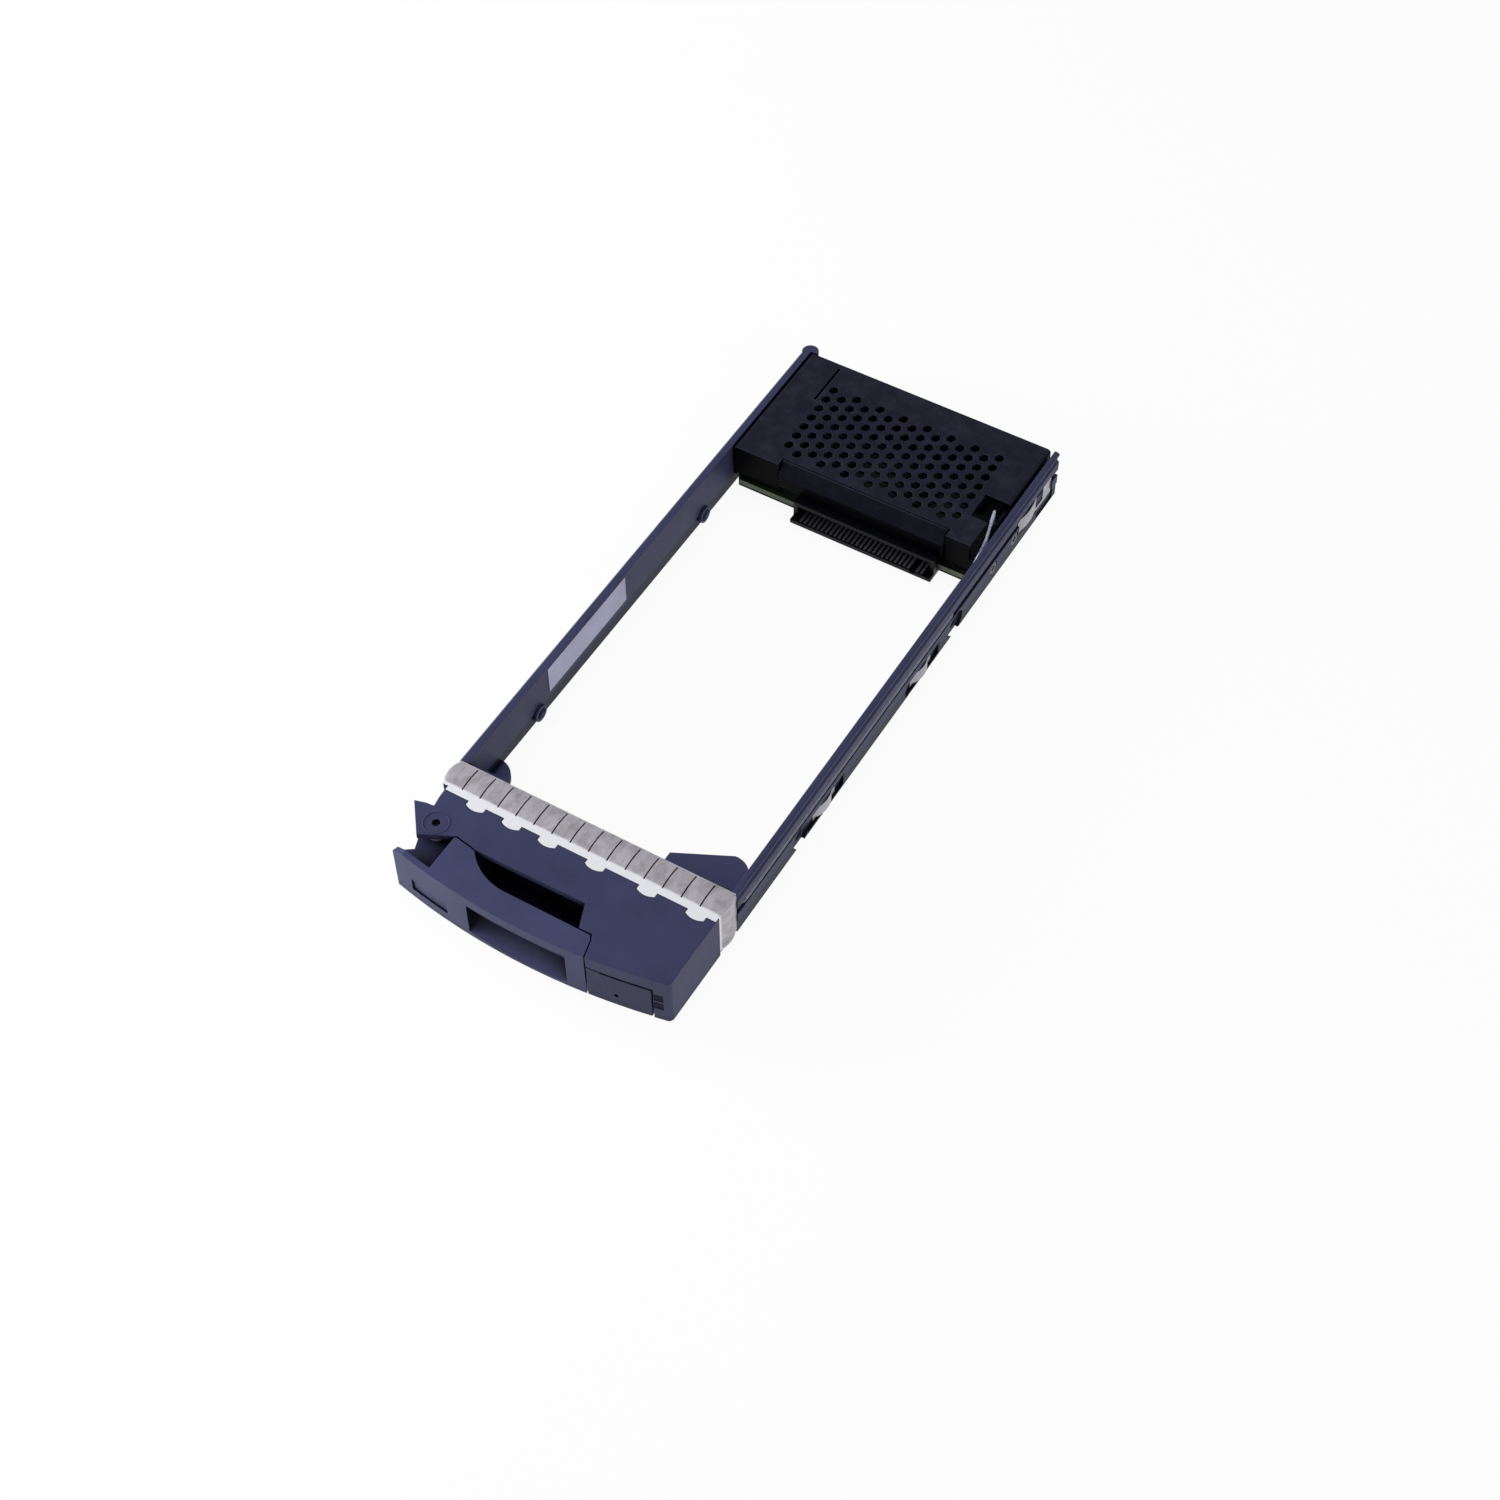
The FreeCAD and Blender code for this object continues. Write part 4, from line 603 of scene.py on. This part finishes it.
def cross_head_screws(node, material):
    """The node's screws with cross recesses in their heads."""
    axis, head_r, head_height, shank_r, length = SCREWS[node]
    mesh = bmesh.new()
    for place, direction in screw_places(node, axis, head_r):
        turned = direction.to_track_quat("Z", "Y").to_matrix().to_4x4()
        add_screw(mesh, Matrix.Translation(place) @ turned, head_r, head_height, shank_r, length)
    piece = new_piece(node + "_cross_head", mesh, material, "frame")
    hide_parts(node)


# Small details
def ear_ring(material):
    """Low moulded ring round the lever's pin on the ear."""
    pin_low, pin_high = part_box("lever_pin")
    middle = (pin_low + pin_high) / 2
    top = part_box("bezel_body")[1].z
    centre = Matrix.Translation((middle.x, middle.y, top))
    mesh = bmesh.new()
    rings = []
    for step in range(RING_STEPS + 1):
        turn = math.pi * step / RING_STEPS
        radius = RING_R + RING_HALF_WIDTH * math.cos(turn)
        height = RING_HEIGHT * math.sin(turn) - RING_SINK
        rings.append(ring_of(mesh, centre, radius, height, RING_SEGMENTS))
    for lower, upper in zip(rings, rings[1:] + rings[:1]):
        join_rings(mesh, lower, upper)
    new_piece("ear_ring", mesh, material, "frame")


def cover_hem(material):
    """Folded hem that closes the cage's rear between the cover's top and the tray's wall."""
    cover_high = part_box("cage_cover")[1]
    tray_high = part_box("cage_tray")[1]
    side_x = tray_high.x - HEM_GAP
    rear, front = cover_high.y, cover_high.y - HEM_SHEET
    top, bottom = cover_high.z - HEM_SHEET - HEM_GAP, tray_high.z + HEM_GAP
    lip = front - HEM_LIP
    outline = [
        (rear, bottom),
        (rear, top),
        (lip, top),
        (lip, top - HEM_SHEET),
        (front, top - HEM_SHEET),
        (front, bottom),
    ]
    mesh = bmesh.new()
    ends = [[mesh.verts.new((x, y, z)) for y, z in outline] for x in (-side_x, side_x)]
    join_rings(mesh, *ends)
    cap_ends(mesh, *ends)
    new_piece("cover_hem", mesh, material, "frame")


def corner_section(side_x, top, rise):
    """Section of a gasket corner. rise is 0 at its ends and 1 at its middle."""
    outer = side_x + CORNER_BULGE * rise
    inner = side_x - CORNER_RUN
    crest = top + CORNER_RISE * rise
    return [
        (inner, crest),
        (outer - CORNER_SHEET, crest - CORNER_SHEET / 2),
        (outer, crest - CORNER_SHEET * 2),
        (outer, top - CORNER_DROP),
        (outer - CORNER_SHEET, top - CORNER_DROP),
        (inner, crest - CORNER_SHEET),
    ]


def gasket_corners(material):
    """Bent strip at each end of the gasket, from the top fingers down to the side finger."""
    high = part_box("emi_gasket")[1]
    side_x = high.x - CORNER_BULGE - CORNER_INSET
    top = high.z - CORNER_RISE - CORNER_INSET
    mesh = bmesh.new()
    for sign in (-1, 1):
        rings = []
        for step in range(CORNER_STEPS + 1):
            share = step / CORNER_STEPS
            y = CORNER_START + (CORNER_END - CORNER_START) * share
            section = corner_section(side_x, top, 4 * share * (1 - share))
            rings.append([mesh.verts.new((sign * x, y, z)) for x, z in section])
        for first, second in zip(rings, rings[1:]):
            join_rings(mesh, first, second)
        cap_ends(mesh, rings[0], rings[-1])
    new_piece("gasket_corners", mesh, material, "frame")


def return_spring():
    """The button's spring again, as a piece of its own in place of the model's node."""
    solid = nodes["button_spring"]
    data = solid.data.copy()
    data.name = "button_return_spring"
    data.transform(solid.matrix_world)
    piece = link_piece("button_return_spring", data, "frame")
    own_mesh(piece)
    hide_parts("button_spring")


def add_details(bezel, cage, gasket, screw):
    ear_ring(bezel)
    return_spring()
    gasket_corners(gasket)
    cover_hem(cage)
    for node in SCREWS:
        cross_head_screws(node, screw)


# Stage, light and camera
def make_floor():
    """Pale floor. The camera sees it near white, but it still takes the object's shadow."""
    mesh = bpy.data.meshes.new("floor")
    low = cad_box[0][2] - FLOOR_GAP
    ends = (-FLOOR_HALF, FLOOR_HALF)
    mesh.from_pydata([(x, y, low) for y in ends for x in ends], [], [(0, 1, 3, 2)])
    floor = bpy.data.objects.new("floor", mesh)
    bpy.context.scene.collection.objects.link(floor)
    material, tree, shader = new_material("floor_paper")
    mesh.materials.append(material)
    paper = ramp(tree, noise(tree, 8.0), (0.80, 0.80, 0.80), (0.83, 0.83, 0.83))
    tree.links.new(paper, shader.inputs["Base Color"])
    shader.inputs["Roughness"].default_value = 0.9
    paths = tree.nodes.new("ShaderNodeLightPath")
    seen = add_math(tree, "MAXIMUM", paths.outputs["Is Camera Ray"])
    tree.links.new(paths.outputs["Is Glossy Ray"], seen.inputs[1])
    share = add_math(tree, "MULTIPLY", seen.outputs[0])
    share.inputs[1].default_value = FLOOR_WHITE
    glow = add_node(tree, "ShaderNodeEmission", Color=(*WHITE, 1.0), Strength=1.0)
    mix = tree.nodes.new("ShaderNodeMixShader")
    tree.links.new(share.outputs[0], mix.inputs["Fac"])
    tree.links.new(shader.outputs["BSDF"], mix.inputs[1])
    tree.links.new(glow.outputs["Emission"], mix.inputs[2])
    tree.links.new(mix.outputs["Shader"], tree.nodes["Material Output"].inputs["Surface"])


def lamp(name, place, size, power):
    """Round lamp that glossy surfaces don't mirror."""
    data = bpy.data.lights.new(name, "AREA")
    data.shape = "DISK"
    data.size = size
    data.energy = power
    lamp_object = bpy.data.objects.new(name, data)
    lamp_object.location = place
    lamp_object.rotation_mode = "QUATERNION"
    lamp_object.rotation_quaternion = (LAMP_AIM - Vector(place)).to_track_quat("-Z", "Y")
    lamp_object.visible_glossy = False
    bpy.context.scene.collection.objects.link(lamp_object)


def make_light():
    world = bpy.data.worlds.new("studio")
    bpy.context.scene.world = world
    world.use_nodes = True
    background = world.node_tree.nodes["Background"]
    background.inputs["Color"].default_value = (*WORLD_COLOUR, 1.0)
    background.inputs["Strength"].default_value = WORLD_STRENGTH
    for name, settings in LAMPS.items():
        lamp(name, *settings)


def make_camera():
    azimuth = math.radians(CAMERA_AZIMUTH)
    elevation = math.radians(CAMERA_ELEVATION)
    roll = math.radians(CAMERA_ROLL)
    level = Vector((math.sin(azimuth), -math.cos(azimuth), 0.0))
    back = level * math.cos(elevation) + Vector((0.0, 0.0, math.sin(elevation)))
    right = Vector((math.cos(azimuth), math.sin(azimuth), 0.0))
    up = back.cross(right)
    turned_right = right * math.cos(roll) + up * math.sin(roll)
    turned_up = up * math.cos(roll) - right * math.sin(roll)
    data = bpy.data.cameras.new("photo_camera")
    data.sensor_width = SENSOR
    data.lens = SENSOR * FOCAL_PIXELS / IMAGE_SIDE
    data.clip_start = CLIP_START
    camera = bpy.data.objects.new("photo_camera", data)
    place = CAMERA_TARGET + back * CAMERA_DISTANCE
    axes = Matrix((turned_right, turned_up, back)).transposed().to_4x4()
    camera.matrix_world = Matrix.Translation(place) @ axes
    bpy.context.scene.collection.objects.link(camera)
    bpy.context.scene.camera = camera


add_details(*dress())
make_floor()
make_light()
make_camera()
bpy.context.scene.view_settings.view_transform = "Standard"
